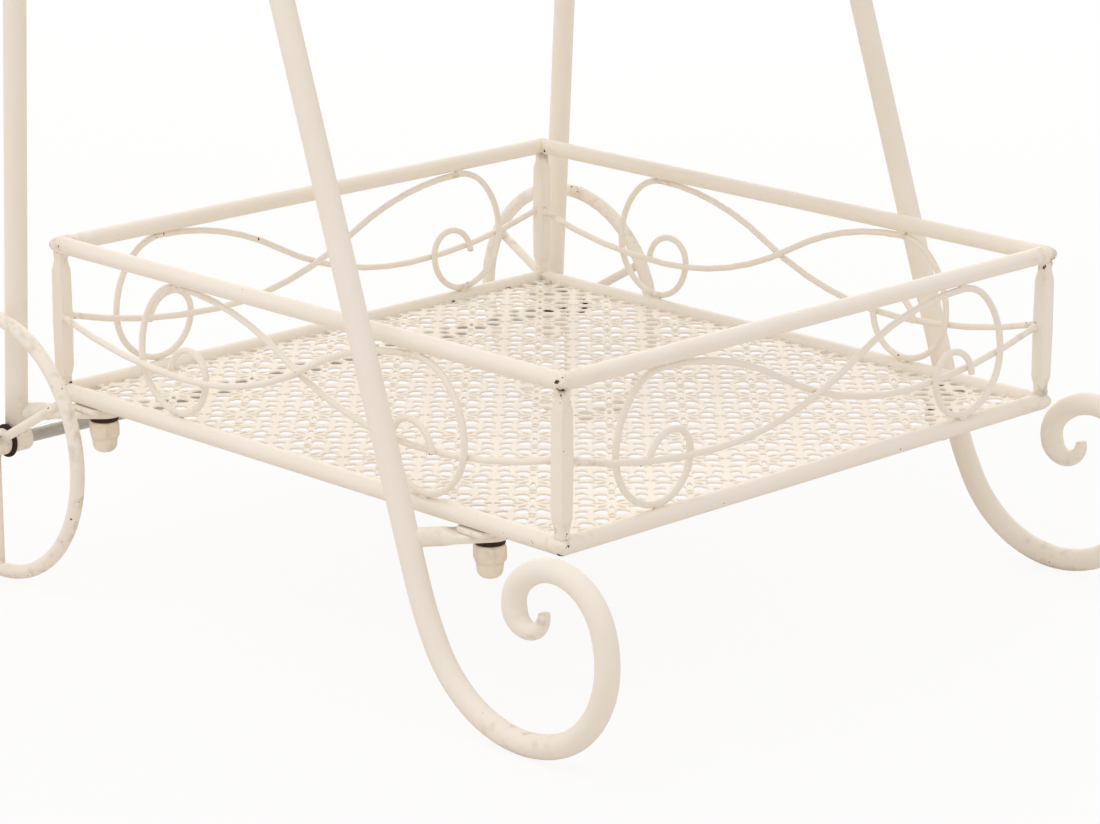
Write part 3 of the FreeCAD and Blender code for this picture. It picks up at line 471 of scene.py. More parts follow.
def paint_group():
    """Group for worn paint: colour, roughness, chip mask and height from a vector and the wear.

    Warm blotches; fine dark streaks where the piece is worn, partly soiling round the welds and
    partly painted shade in its joints and corners; and chips: the paint is gone where a fine noise
    passes a threshold that falls as the wear grows.
    """
    group = bpy.data.node_groups.get("worn_paint")
    if group:
        return group
    group = bpy.data.node_groups.new("worn_paint", "ShaderNodeTree")
    face = group.interface
    face.new_socket("Vector", in_out="INPUT", socket_type="NodeSocketVector")
    for name, value in (("Wear", 0.0), ("Chips", 0.5), ("Roughness", 0.42)):
        socket = face.new_socket(name, in_out="INPUT", socket_type="NodeSocketFloat")
        socket.default_value = value
    for name in ("Paint", "Warm", "Chip", "Grime and shade"):
        face.new_socket(name, in_out="INPUT", socket_type="NodeSocketColor")
    face.new_socket("Color", in_out="OUTPUT", socket_type="NodeSocketColor")
    for name in ("Roughness", "Metallic", "Height"):
        face.new_socket(name, in_out="OUTPUT", socket_type="NodeSocketFloat")
    into = node(group, "NodeGroupInput").outputs
    where, wear = into["Vector"], into["Wear"]

    blotch = noise(group, where, 14.0, 3.0, 0.6)
    streak = noise(group, where, 160.0, 2.0)
    speck = noise(group, where, 230.0, 2.5, 0.6)
    peel = noise(group, where, 900.0, 1.0)

    warmth = spread(group, blotch, 0.42, 0.72, high=0.55)
    warmth = reckon(group, "MULTIPLY_ADD", wear, 0.35, warmth)
    colour_now = mixed(group, warmth, into["Paint"], into["Warm"])
    # Fine dark streaks where the wear is high, at welds, joints, corners and the floor's seam:
    # partly soiling, partly painted shade.
    grime_and_shade_amount = reckon(group, "MULTIPLY", spread(group, streak, 0.52, 0.75, high=0.7), wear)
    colour_now = mixed(group, grime_and_shade_amount, colour_now, into["Grime and shade"])

    loose = reckon(group, "MULTIPLY", wear, into["Chips"])
    fresh, fall, rim = 0.765, -0.22, 0.012
    threshold = reckon(group, "MULTIPLY_ADD", loose, fall, fresh)
    chip = spread(group, speck, threshold, reckon(group, "ADD", threshold, rim))
    colour_now = mixed(group, chip, colour_now, into["Chip"])

    ripple = reckon(group, "MULTIPLY", peel, 0.35)
    node(group, "NodeGroupOutput", {
        "Color": colour_now, "Metallic": chip,
        "Roughness": reckon(group, "MULTIPLY_ADD", streak, 0.16, into["Roughness"]),
        "Height": reckon(group, "MULTIPLY_ADD", chip, -1.0, ripple)})
    return group


def start_material(name):
    """A material with a Principled shader, and its object coordinates."""
    made = bpy.data.materials.new(name)
    made.use_nodes = True
    tree = made.node_tree
    tree.nodes.clear()
    shader = node(tree, "ShaderNodeBsdfPrincipled")
    node(tree, "ShaderNodeOutputMaterial", {0: shader.outputs[0]})
    return made, tree, shader, node(tree, "ShaderNodeTexCoord").outputs["Object"]


def paint(name, tint, roughness, chips):
    """Cream paint over dark metal."""
    made, tree, shader, where = start_material(name)
    wear = node(tree, "ShaderNodeAttribute", attribute_name="wear").outputs["Fac"]
    group = node(tree, "ShaderNodeGroup", node_tree=paint_group())
    give(tree, group, {
        "Vector": where, "Wear": wear, "Chips": chips, "Roughness": roughness, "Paint": tint,
        "Warm": looks().cream_warm, "Chip": looks().chip, "Grime and shade": looks().grime_and_shade})
    give(tree, shader, {
        "Base Color": group.outputs["Color"], "Roughness": group.outputs["Roughness"],
        "Normal": relief(tree, group.outputs["Height"], 0.25, 0.0003),
        "Coat Weight": 0.03, "Coat Roughness": 0.5, "Specular IOR Level": 0.22})
    return made


def rubber(name):
    """Matte dark rubber with fine dust."""
    made, tree, shader, where = start_material(name)
    dust = noise(tree, where, 500.0, 4.0)
    give(tree, shader, {
        "Base Color": ramp(tree, dust, looks().rubber, (0.065, 0.038, 0.022, 1)),
        "Normal": relief(tree, dust, 0.3, 0.0002), "Roughness": 0.8, "Specular IOR Level": 0.2})
    return made


def steel(name):
    """Zinc-plated rod with drawn lines round it."""
    made, tree, shader, where = start_material(name)
    drawn = node(tree, "ShaderNodeMapping", {"Vector": where, "Scale": (1.0, 60.0, 1.0)})
    lines = noise(tree, drawn.outputs[0], 60.0, 5.0)
    give(tree, shader, {
        "Base Color": ramp(tree, lines, (0.50, 0.50, 0.49, 1), looks().zinc),
        "Roughness": spread(tree, lines, 0.0, 1.0, 0.28, 0.5), "Metallic": 1.0})
    return made


def finish_of(name):
    """The material of a finish slot, made when it is first asked for."""
    finish = f"{name}_finish"
    made = bpy.data.materials.get(finish)
    if made:
        return made
    look = looks()
    if name == "cream_paint":
        return paint(finish, look.cream, look.gloss, look.chips)
    if name == "cream_nut":
        return paint(finish, look.nut_cream, look.gloss - 0.08, look.chips * 0.4)
    if name == "black_washer":
        return rubber(finish)
    if name == "axle_steel":
        return steel(finish)
    raise RuntimeError(f"no finish called {name}")


# ---- where things are ---------------------------------------------------------------------------

class Places:
    """Positions that several operators need, read from the frame."""

    def __init__(self):
        size = sizes()
        low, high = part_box("left_rim")
        self.axle_x = (low.x + high.x) / 2
        self.axle_z = (low.z + high.z) / 2
        self.wheel_y = (low.y + high.y) / 2
        low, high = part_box("scroll_leg_left")
        self.side_y = (low.y + high.y) / 2
        self.scroll_slope = math.tan(size.scroll_lean)
        self.wheel_slope = math.tan(size.wheel_lean)
        self.scroll_heading = size.scroll_lean - math.pi / 2
        self.wheel_heading = math.pi / 2 - size.wheel_lean
        face = size.leg_bar / 2 / math.cos(size.wheel_lean)
        closing = self.scroll_slope + self.wheel_slope
        self.joint_z = self.axle_z + (size.leg_spread - face) / closing
        low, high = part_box("handle_bar")
        self.handle = ((low.x + high.x) / 2, (low.z + high.z) / 2)

    def scroll_x(self, z):
        """X of a scroll leg's centre-line."""
        return self.axle_x + sizes().leg_spread - (z - self.axle_z) * self.scroll_slope

    def wheel_x(self, z):
        """X of a wheel leg's centre-line."""
        return self.axle_x + (z - self.axle_z) * self.wheel_slope


def tray_of(name):
    """Rear, front, half width, bottom and top-rail height of a tray."""
    low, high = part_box(f"{name}_base_rail")
    radius = sizes().rail_bar / 2
    top_low, top_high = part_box(f"{name}_top_rail")
    return low.x + radius, high.x - radius, high.y - radius, low.z, (top_low.z + top_high.z) / 2


# ---- operators ----------------------------------------------------------------------------------

class FLOWERCART_OT_legs(bpy.types.Operator):
    """Scroll legs and wheel legs, bent from round bar"""

    bl_idname = "flowercart.legs"
    bl_label = "Legs"

    def from_straight(self, leg_x, start, heading, rows, bent):
        """A bent centre-line led on from its leg's straight part, which starts at a height."""
        x, z, headings = bent
        straight = np.linspace(start, z[0], rows + 1)[:-1]
        return (np.concatenate([leg_x(straight), x]), np.concatenate([straight, z]),
                np.concatenate([np.full(rows, heading), headings]))

    def execute(self, context):
        size = sizes()
        at = Places()
        radius = size.leg_bar / 2
        overlap, footprint, curl_wear = 0.010, 0.012, 2.9
        bends = list(zip(size.foot_radii, size.foot_turns))
        trial = walk(0.0, 0.0, at.scroll_heading, bends, 0.5)
        foot_top = radius - trial[1].min()
        bent = walk(at.scroll_x(foot_top), foot_top, at.scroll_heading, bends, 3.0)
        x, z, heading = self.from_straight(
            at.scroll_x, at.joint_z + overlap, at.scroll_heading, 23, bent)
        start, end = size.foot_turns[4:6]
        thin = np.clip((heading - start) / (end - start), 0, 1)
        thickness = radius + (size.tip_bar / 2 - radius) * thin
        wear = np.clip((heading - start) / curl_wear, 0, 1) * 0.8
        wear = np.maximum(wear, fading(z, footprint) * 0.9)
        grid = bar_grid(x, z, heading, thickness, 28, SOFT_EDGE)
        scroll = skin(grid, wear=np.append(wear[:-1], np.ones(3)))

        rise = at.joint_z + size.crook_rise
        large, small = size.crook_radii
        crook = [(large, math.pi), (large, size.crook_turns[0]), (small, size.crook_turns[1])]
        bent = walk(at.wheel_x(rise), rise, at.wheel_heading, crook)
        bottom = at.axle_z + 0.0045  # inside the bush
        x, z, heading = self.from_straight(at.wheel_x, bottom, at.wheel_heading, 27, bent)
        grid = bar_grid(x, z, heading, radius, 28, 0.0008)
        reach = grid[0, :, 0] - at.axle_x
        bush = size.hub / 2 - SOFT_EDGE
        grid[0, :, 2] = at.axle_z + np.sqrt(np.maximum(bush ** 2 - reach ** 2, 0.0))
        wear = fading(z - bottom, footprint) * 0.8
        wheel = skin(grid, wear=np.append(wear[:-1], np.ones(3)))
        for side, sign in SIDES:
            shift = place(0, sign * at.side_y, 0)
            piece(f"scroll_leg_bar_{side}", scroll.moved(shift), f"scroll_leg_{side}")
            piece(f"wheel_leg_bar_{side}", wheel.moved(shift), f"wheel_leg_{side}")
        return {"FINISHED"}


class FLOWERCART_OT_lugs(bpy.types.Operator):
    """Lugs forged from round bar into flat eyes, under every tray"""

    bl_idname = "flowercart.lugs"
    bl_label = "Lugs"

    def lug(self, reach):
        """Lug along +X: a superellipse that changes along it.

        Its half width, half thickness and squareness go smoothly from the round stub's to the flat
        eye's.
        """
        size = sizes()
        stub, plate = size.lug_stub / 2, size.lug_plate / 2
        radius = size.lug_width / 2
        stub_end = size.leg_bar / 2 + size.lug_stub_length
        flat = stub_end + size.lug_forge
        turn_in = np.sin(np.linspace(0, math.pi / 2, 14))
        short = 0.0003
        along = np.concatenate([
            np.linspace(0.001, stub_end, 8)[:-1], np.linspace(stub_end, flat, 9)[:-1],
            np.linspace(flat, reach, 5)[:-1], reach + (radius - short) * turn_in,
            [reach + radius]])[:, None]
        blend = np.clip((along - stub_end) / (flat - stub_end), 0, 1)
        blend = blend * blend * (3 - 2 * blend)
        wide = stub + (radius - stub) * blend
        thick = stub + (plate - stub) * blend
        past = np.clip((along - reach) / radius, 0, 1)
        wide = wide * np.sqrt(np.maximum(1 - past ** 2, 0.0004))
        thick[-1] *= 0.8
        power = 2 / (2 + 5 * blend)
        angle = round_angles(32)
        grid = grid_of(
            along, wide * squared(np.cos(angle), power), thick * squared(np.sin(angle), power))
        weld = bead(size.bead * 1.3, (0.9, 1.75, 1.6), 16, 8)
        return skin(grid, wear=0.25 + 0.4 * past).take(
            weld.moved(place(size.leg_bar / 2 + 0.0002, 0, 0)))

    def execute(self, context):
        size = sizes()
        at = Places()
        for kind, leg_x in (("front", at.scroll_x), ("rear", at.wheel_x)):
            for side, sign in SIDES:
                whole = Shape()
                for tray in TRAYS:
                    low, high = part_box(f"{tray}_studs")
                    stud_x = high.x - STUD if kind == "front" else low.x + STUD
                    stud_y = (high.y - STUD) * sign
                    z = high.z - size.lug_plate / 2
                    x, y = leg_x(z), sign * at.side_y
                    reach = math.hypot(stud_x - x, stud_y - y)
                    angle = math.atan2(stud_y - y, stud_x - x)
                    whole.take(self.lug(reach).moved(place(x, y, z, "Z", angle)))
                piece(f"{kind}_lug_forgings_{side}", whole, f"{kind}_lugs_{side}")
        return {"FINISHED"}


class FLOWERCART_OT_rails(bpy.types.Operator):
    """Top and base rails, mitred and welded at the corners"""

    bl_idname = "flowercart.rails"
    bl_label = "Rails"

    def ring(self, rear, front, half_y, z):
        """A round rail led round four mitred corners.

        Each side is a straight bar: its radius dips at the mitre's seam and swells beside it, where
        the weld is ground, and near a corner each point is pushed along by its place across.
        """
        radius = sizes().rail_bar / 2
        mitre_reach, weld_wear, knock_reach = 0.012, 0.016, 0.0045
        seam_depth, seam_width, swell_height, swell_width = 0.00022, 0.0007, 0.00012, 0.001
        angle = round_angles(28)
        corners = np.array([(front, -half_y), (front, half_y), (rear, half_y), (rear, -half_y)])
        steps = np.array([0.0, 0.0009, 0.0018, 0.004, 0.010, 0.025])
        rows, gaps = [], []
        for start, end in zip(corners, np.roll(corners, -1, axis=0)):
            span = np.linalg.norm(end - start)
            forward = (end - start) / span
            middle = np.linspace(0.06, span - 0.06, 7)
            along = np.concatenate([steps, middle, span - steps[::-1]])[:, None]
            gap = np.minimum(along, span - along)
            seam = seam_depth * np.exp(-(gap / seam_width) ** 2)
            swell = radius - seam + swell_height * np.exp(-((gap - steps[2]) / swell_width) ** 2)
            across = swell * np.cos(angle)
            mitre = np.where(along < span / 2, 1, -1) * fading(gap, mitre_reach)
            position = along - mitre * across
            grid = grid_of(
                start[0] + forward[0] * position + forward[1] * across,
                start[1] + forward[1] * position - forward[0] * across, z + swell * np.sin(angle))
            rows.append(grid[:-1])
            gaps.append(gap[:-1])
        gap = np.concatenate(gaps)
        under = -np.sin(angle)
        worn = fading(gap, weld_wear) * (0.75 + 0.25 * np.clip(under, 0, 1))
        knock = np.exp(-(gap / knock_reach) ** 2) * np.clip(under * 2 - 0.6, 0, 1)
        return skin(np.concatenate(rows), closed=True, wear=np.maximum(worn, 1.7 * knock))

    def execute(self, context):
        for tray in TRAYS:
            rear, front, half_y, bottom, top = tray_of(tray)
            for kind, z in (("base", bottom + sizes().rail_bar / 2), ("top", top)):
                piece(f"{tray}_{kind}_rail_bar", self.ring(rear, front, half_y, z),
                      f"{tray}_{kind}_rail")
        return {"FINISHED"}


class FLOWERCART_OT_posts(bpy.types.Operator):
    """Corner posts, forged square and thicker half way up"""

    bl_idname = "flowercart.posts"
    bl_label = "Posts"

    def forging(self, bottom, tall):
        """Post on the Z axis: a rounded square, its half width from end to shoulder to middle.

        The lower half is worked out, with the swell of its weld, and mirrored to the upper one.
        """
        taper = sizes().post_taper
        widths = [width / 2 for width in sizes().post_widths]
        weld_swell, weld_height, wear_height, power = 0.0011, 0.0022, 0.01, 2 / 9
        level = np.array([
            -0.001, 0.0, 0.001, 0.002, 0.004, 0.0065, taper, 0.014, 0.022, tall / 2])
        half = np.interp(level, [0, taper, tall / 2], widths)
        weld = weld_swell * np.exp(-(level / weld_height) ** 2)
        level = np.append(level, tall - level[-2::-1])[:, None]
        half = np.append(half + weld, (half + weld)[-2::-1])[:, None]
        angle = round_angles(24) + math.pi / 4
        grid = grid_of(half * squared(np.cos(angle), power), half * squared(np.sin(angle), power),
                       bottom + level)
        return skin(grid, wear=fading(np.minimum(level, tall - level), wear_height))

    def execute(self, context):
        for tray in TRAYS:
            rear, front, half_y = tray_of(tray)[:3]
            low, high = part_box(f"{tray}_posts")
            post = self.forging(low.z, high.z - low.z)
            whole = Shape()
            for x in (front, rear):
                for y in (half_y, -half_y):
                    whole.take(post.moved(place(x, y, 0)))
            piece(f"{tray}_post_forgings", whole, f"{tray}_posts")
        return {"FINISHED"}


class FLOWERCART_OT_scrolls(bpy.types.Operator):
    """Scroll wires of the trays' sides, with their weld beads"""

    bl_idname = "flowercart.scrolls"
    bl_label = "Scroll wires"

    def wire(self, half, weld_share, rail_height):
        """One wire of a side in the XZ plane: a bar along bends that touches both rails."""
        size = sizes()
        rail = size.rail_bar / 2
        half_wire = size.wire / 2
        top = rail_height - rail - half_wire
        low = size.rail_bar + half_wire
        start_x = -(half - size.post_widths[2] / 2)
        run = weld_share * half - start_x
        dip_run = run * size.dip_share
        dip_turn = 2 * math.atan((size.wire_start - size.wire_dip) / dip_run)
        climb_run = run - dip_run
        climb_turn = 2 * math.atan((top - size.wire_dip) / climb_run)
        first, side, back, turn_in, tip = size.loop_radii
        eighth = math.cos(math.pi / 4)
        drop = first * (1 - eighth) + side * eighth
        bends = [
            (dip_run / math.sin(dip_turn), 0.0),
            (climb_run * size.turn_share / math.sin(climb_turn), climb_turn),
            (climb_run * (1 - size.turn_share) / math.sin(climb_turn), 0.0),
            (first, -math.pi / 4), (side, -math.pi / 2), (top - low - drop, -math.pi),
            (back, -1.5 * math.pi), (turn_in, -2 * math.pi), (tip, size.loop_end)]
        stub = walk(start_x - 0.0015, size.wire_start, 0.0, [])
        bent = walk(start_x, size.wire_start, -dip_turn, bends, 5.0)
        x, z, heading = (np.concatenate(both) for both in zip(stub, bent))
        stop = walk(start_x, size.wire_start, -dip_turn, bends[:6])
        welds = [(weld_share * half, top, half_wire), (stop[0][-1], low, -half_wire)]
        worn = np.concatenate([np.full(2, 0.9), np.zeros(len(x) - 3), np.ones(3)])
        row_x, row_z = (np.append(row[:-1], [row[-1]] * 3) for row in (x, z))
        for weld_x, weld_z, _ in welds:
            near = fading(np.hypot(row_x - weld_x, row_z - weld_z), 0.008)
            worn = np.maximum(worn, near * 0.8)
        shape = skin(bar_grid(x, z, heading, half_wire, 14, 0.0005), wear=worn)
        flat_bead = bead(size.bead, (1.5, 0.85, 0.75))
        for weld_x, weld_z, outward in welds:
            shape.take(flat_bead.moved(place(weld_x, 0, weld_z + outward)))
        tall_bead = bead(size.bead * 1.05, (0.75, 1.0, 1.2))
        return shape.take(tall_bead.moved(place(start_x, 0, size.wire_start)))

    def execute(self, context):
        size = sizes()
        long_share, end_share = size.weld_shares
        quarter, half_turn = math.pi / 2, Matrix.Rotation(math.pi, 4, "Z")
        for tray in TRAYS:
            rear, front, half_y, bottom, top = tray_of(tray)
            half_x = (front - rear) / 2
            middle = (front + rear) / 2
            for side, half, weld_share, where in (
                    ("left", half_x, long_share, place(middle, half_y, bottom)),
                    ("right", half_x, long_share, place(middle, -half_y, bottom)),
                    ("front", half_y, end_share, place(front, 0, bottom, "Z", quarter)),
                    ("back", half_y, end_share, place(rear, 0, bottom, "Z", quarter))):
                wire = self.wire(half, weld_share, top - bottom).moved(place(0, -size.wire / 2, 0))
                pair = wire.moved(where).take(wire.moved(where @ half_turn))
                piece(f"{tray}_scroll_wires_{side}", pair, f"{tray}_scrolls_{side}")
        return {"FINISHED"}


class FLOWERCART_OT_floors(bpy.types.Operator):
    """Tray floors, punched with rosettes of drop-shaped holes"""

    bl_idname = "flowercart.floors"
    bl_label = "Punched floors"

    def holes(self):
        """Outlines of one rosette's holes: an egg whose narrow end points to the rosette's middle.

        Each outline is its centre plus half the length times the cosine along the radius and half
        the width times the sine across it, the width growing outwards. From the middle out there
        are a star of slots, the ring of petals, and smaller holes where the petals leave room.
        """
        size = sizes()
        ring = size.petal_ring
        long, wide = size.petal[0] / 2, size.petal[1] / 2
        rows = (
            (8, ring * 0.49, long * 0.72, wide * 0.34, 0.0),
            (8, ring, long, wide, math.pi / 8),
            (4, ring * 1.30, long * 0.40, wide * 0.50, 0.0),
            (4, ring * 1.56, long * 0.78, wide * 0.82, math.pi / 4))
        parts = []
        angle = round_angles(8)
        for count, reach, half_long, half_wide, phase in rows:
            turned = (phase + np.arange(count) * 2 * math.pi / count)[:, None]
            radial = reach + half_long * np.cos(angle)[None, :]
            tangent = half_wide * np.sin(angle) * (1 + 0.35 * np.cos(angle))[None, :]
            x = radial * np.cos(turned) - tangent * np.sin(turned)
            y = radial * np.sin(turned) + tangent * np.cos(turned)
            parts.append(np.stack([x, y], -1))
        return np.concatenate(parts)

    def cell(self):
        """One rosette as flat triangles: points, triangles, and 1 for points on a hole's edge."""
        half = sizes().rosette / 2
        inner = self.holes()
        middle = inner.mean(axis=1, keepdims=True)
        outer = middle + (inner - middle) * 1.2
        share_of = np.linspace(-1, 1, 6)[:-1] * half
        level = np.full(5, half)
        border = np.concatenate([
            np.stack([share_of, -level], -1), np.stack([level, share_of], -1),
            np.stack([-share_of, level], -1), np.stack([-level, -share_of], -1)])
        count = len(inner)
        flat_outer = outer.reshape(-1, 2)
        points = [Vector(p) for p in np.concatenate([border, flat_outer]).tolist()]
        loops = [list(range(len(border)))]
        loops += (len(border) + np.arange(count * 8).reshape(count, 8)[:, ::-1]).tolist()
        made = delaunay_2d_cdt(points, [], loops, 2, 1e-7)
        placed = np.array([tuple(p) for p in made[0]])
        triangles = np.array([face for face in made[2] if len(face) == 3])
        nearest = np.linalg.norm(flat_outer[:, None, :] - placed[None, :, :], axis=2)
        index = nearest.argmin(axis=1).reshape(count, 8)
        if nearest.min(axis=1).max() > 1e-6:
            raise RuntimeError("a hole's edge was lost")
        first = len(placed)
        inner_index = first + np.arange(count * 8).reshape(count, 8)
        ring = [index, np.roll(index, -1, 1), np.roll(inner_index, -1, 1), inner_index]
        ring = np.stack(ring, -1).reshape(-1, 4)
        placed = np.concatenate([placed, inner.reshape(-1, 2)])
        drop = np.zeros(len(placed))
        drop[first:] = 1.0
        return placed, np.concatenate([triangles, ring[:, [0, 1, 2]], ring[:, [0, 2, 3]]]), drop

    def sheet(self, low, high, phase_x, phase_y):
        """The floor's sheet: slanting rows of rosettes, cut off at the rails and given a thickness.

        Its top is pressed down at the holes' edges. Its underside is raised inside a narrow hem.
        """
        size = sizes()
        points, triangles, drop = self.cell()
        reach = math.hypot(high.x - low.x, high.y - low.y) / 2
        count = math.ceil(reach / size.rosette) + 1
        steps = np.arange(-count, count + 1)
        move = np.stack(np.meshgrid(steps, steps), -1).reshape(-1, 1, 2) * size.rosette
        slant = math.sqrt(0.5) * np.array([[1, 1], [-1, 1]])
        start = np.array([(low.x + high.x) / 2 + phase_x, (low.y + high.y) / 2 + phase_y])
        all_points = ((points[None] + move) @ slant).reshape(-1, 2) + start
        step = np.arange(len(move))[:, None, None] * len(points)
        all_faces = (triangles[None] + step).reshape(-1, 3)
        all_drop = np.tile(drop, len(move))
        inside = all_points[all_faces].mean(axis=1)
        margin = 0.012
        keep = ((inside > (low.x - margin, low.y - margin))
                & (inside < (high.x + margin, high.y + margin))).all(1)
        all_faces = all_faces[keep]
        unique, back = np.unique(np.round(all_points, 7), axis=0, return_inverse=True)
        back = back.ravel()
        depth = np.zeros(len(unique))
        depth[back] = all_drop
        all_faces = back[all_faces]
        used, packed = np.unique(all_faces, return_inverse=True)
        flat = np.concatenate([unique[used], depth[used][:, None]], 1)
        mesh = bpy.data.meshes.new("sheet")
        mesh.from_pydata(flat.tolist(), [], packed.reshape(-1, 3).tolist())
        work = bmesh.new()
        work.from_mesh(mesh)
        for spot, normal in (
                ((low.x, 0, 0), (-1, 0, 0)), ((high.x, 0, 0), (1, 0, 0)),
                ((0, low.y, 0), (0, -1, 0)), ((0, high.y, 0), (0, 1, 0))):
            bmesh.ops.bisect_plane(
                work, geom=work.verts[:] + work.edges[:] + work.faces[:], dist=1e-6,
                plane_co=spot, plane_no=normal, clear_outer=True)
        bmesh.ops.triangulate(work, faces=work.faces[:])
        work.to_mesh(mesh)
        work.free()
        count = len(mesh.vertices)
        flat = np.empty(count * 3, np.float32)
        mesh.vertices.foreach_get("co", flat)
        flat = flat.reshape(-1, 3).astype(float)
        faces = np.empty(len(mesh.polygons) * 3, np.int32)
        mesh.loops.foreach_get("vertex_index", faces)
        faces = faces.reshape(-1, 3)
        bpy.data.meshes.remove(mesh)
        a, b, c = (flat[faces[:, k], :2] for k in range(3))
        b, c = b - a, c - a
        faces = np.where((b[:, 0] * c[:, 1] > b[:, 1] * c[:, 0])[:, None], faces, faces[:, ::-1])
        edges = np.concatenate([faces[:, [0, 1]], faces[:, [1, 2]], faces[:, [2, 0]]])
        _, first, times = np.unique(
            np.sort(edges, axis=1), axis=0, return_index=True, return_counts=True)
        rim = edges[first[times == 1]]
        top = flat.copy()
        top[:, 2] = high.z - flat[:, 2] * size.rolled_edge
        walls = np.stack([rim[:, 1], rim[:, 0], rim[:, 0] + count, rim[:, 1] + count], -1)
        edge = np.minimum.reduce([
            flat[:, 0] - low.x, high.x - flat[:, 0], flat[:, 1] - low.y, high.y - flat[:, 1]])
        under = flat.copy()
        # Near its border the sheet wears and darkens: chips, and a painted shadow line for the gap
        # between the sheet and the rails.
        hem, seam_wear_and_shade = 0.0005, 0.004
        under[:, 2] = np.where(edge > hem, high.z - size.rolled_edge - size.floor_sheet, low.z)
        return Shape().add(
            np.concatenate([top, under]), [faces, faces[:, ::-1] + count, walls], False,
            np.tile(fading(edge, seam_wear_and_shade), 2))

    def execute(self, context):
        for tray in TRAYS:
            low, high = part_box(f"{tray}_floor")
            piece(f"{tray}_punched_floor", self.sheet(low, high, *PHASE), f"{tray}_floor")
        return {"FINISHED"}

class FLOWERCART_OT_fasteners(bpy.types.Operator):
    """Tabs, studs, washers and domed nuts under the trays"""

    bl_idname = "flowercart.fasteners"
    bl_label = "Fasteners"

    def execute(self, context):
        for tray in TRAYS:
            low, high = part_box(f"{tray}_studs")
            tab_low, tab_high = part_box(f"{tray}_tabs")
            washer_low, washer_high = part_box(f"{tray}_washers")
            nut_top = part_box(f"{tray}_cap_nuts")[1].z
            plate = skin(rounded_box(
                TAB_LONG, TAB_WIDE, tab_high.z - tab_low.z, TAB_CORNER, SOFT_EDGE), wear=0.35)
            stud = skin(lathe(thread_profile(THREAD, low.z, high.z), 20), wear=0.2)
            ring = skin(lathe(rounded_ring(
                WASHER_BORE, WASHER_OUTER, washer_low.z, washer_high.z, 0.0005)), closed=True)
            nut = dome_nut()
            tabs, studs, washers, nuts = Shape(), Shape(), Shape(), Shape()
            for x in (low.x + STUD, high.x - STUD):
                for y in (low.y + STUD, high.y - STUD):
                    tab_y = tab_high.y - TAB_WIDE / 2 if y > 0 else tab_low.y + TAB_WIDE / 2
                    tabs.take(plate.moved(place(x, tab_y, (tab_low.z + tab_high.z) / 2)))
                    studs.take(stud.moved(place(x, y, 0)))
                    washers.take(ring.moved(place(x, y, 0)))
                    nuts.take(nut.moved(place(x, y, nut_top, "X", math.pi)))
            piece(f"{tray}_tab_plates", tabs, f"{tray}_tabs")
            piece(f"{tray}_threaded_studs", studs, f"{tray}_studs")
            piece(f"{tray}_rubber_washers", washers, f"{tray}_washers", finish="black_washer")
            piece(f"{tray}_domed_nuts", nuts, f"{tray}_cap_nuts", finish="cream_nut")
        return {"FINISHED"}


def rounded_box(long, wide, thick, corner, edge):
    """Grid of a flat plate with round corners and softened edges, its rows stacked in height."""
    angle = round_angles(32) + math.pi / 32
    sign_x, sign_y = np.sign(np.cos(angle)), np.sign(np.sin(angle))
    rows = []
    for level, inset in ((-0.5, 1.0), (-0.5, 0.0), (0.5, 0.0), (0.5, 1.0)):
        pulled = edge * inset
        x = sign_x * (long / 2 - corner) + (corner - pulled) * np.cos(angle)
        y = sign_y * (wide / 2 - corner) + (corner - pulled) * np.sin(angle)
        z = np.full(32, level * thick - math.copysign(edge, level) * (1 - inset))
        rows.append(np.stack([x, y, z], -1))
    return np.array(rows)


def thread_profile(radius, low, high):
    """Profile of a threaded rod: the radius rises and falls once in each pitch."""
    pitches = max(2, round((high - low) / THREAD_PITCH))
    z = np.linspace(low, high, pitches * 4 + 1)
    wave = np.append(np.tile([0.0, 1.0, 1.0, 0.0], pitches), 0.0)
    return np.stack([radius - THREAD_DEPTH * (1 - wave), z], -1)


def dome_nut(stretch=1.0):
    """Domed nut on z = 0: a hexagon cut by a cone at both ends, then a groove and a round dome.

    Its radius at an angle is the lesser of the hexagon's and the cone's, and above the groove it is
    the profile's alone.
    """
    size = sizes()
    corner = size.nut_corners / 2
    flat = corner * math.cos(math.pi / 6)
    tall = size.nut_hexagon * stretch
    dome = size.nut_dome * stretch
    angle = round_angles(48)
    hexagon = flat / np.cos((angle + math.pi / 6) % (math.pi / 3) - math.pi / 6)
    level = np.array([0.0, 0.0003, 0.0009, 0.0016, tall * 0.5, tall - 0.0014, tall - 0.0007, tall])
    cone = flat + np.array([-0.0008, 0.0, 0.0007, 0.0020, 0.0020, 0.0016, 0.0008, 0.0])
    base = corner * 0.82
    groove = base - 0.0004
    profile = [(groove, tall + 0.0002), (groove, tall + 0.0006), (base, tall + 0.0010)]
    profile += [
        (base * (0.985 - 0.06 * t), tall + 0.0010 + t * (dome * 0.36)) for t in (0.3, 0.65, 1.0)]
    last_radius, last_z = profile[-1]
    around = np.linspace(0, math.pi / 2, 12)[1:-1]
    left = dome - (last_z - tall)
    profile += zip(last_radius * np.cos(around) ** 0.75, last_z + left * np.sin(around))
    profile.append((last_radius * 0.06, tall + dome))
    head = np.minimum(hexagon, cone[:, None])
    head = grid_of(head * np.cos(angle), head * np.sin(angle), level[:, None])
    return skin(np.concatenate([head, lathe(profile, 48)]), wear=0.3)


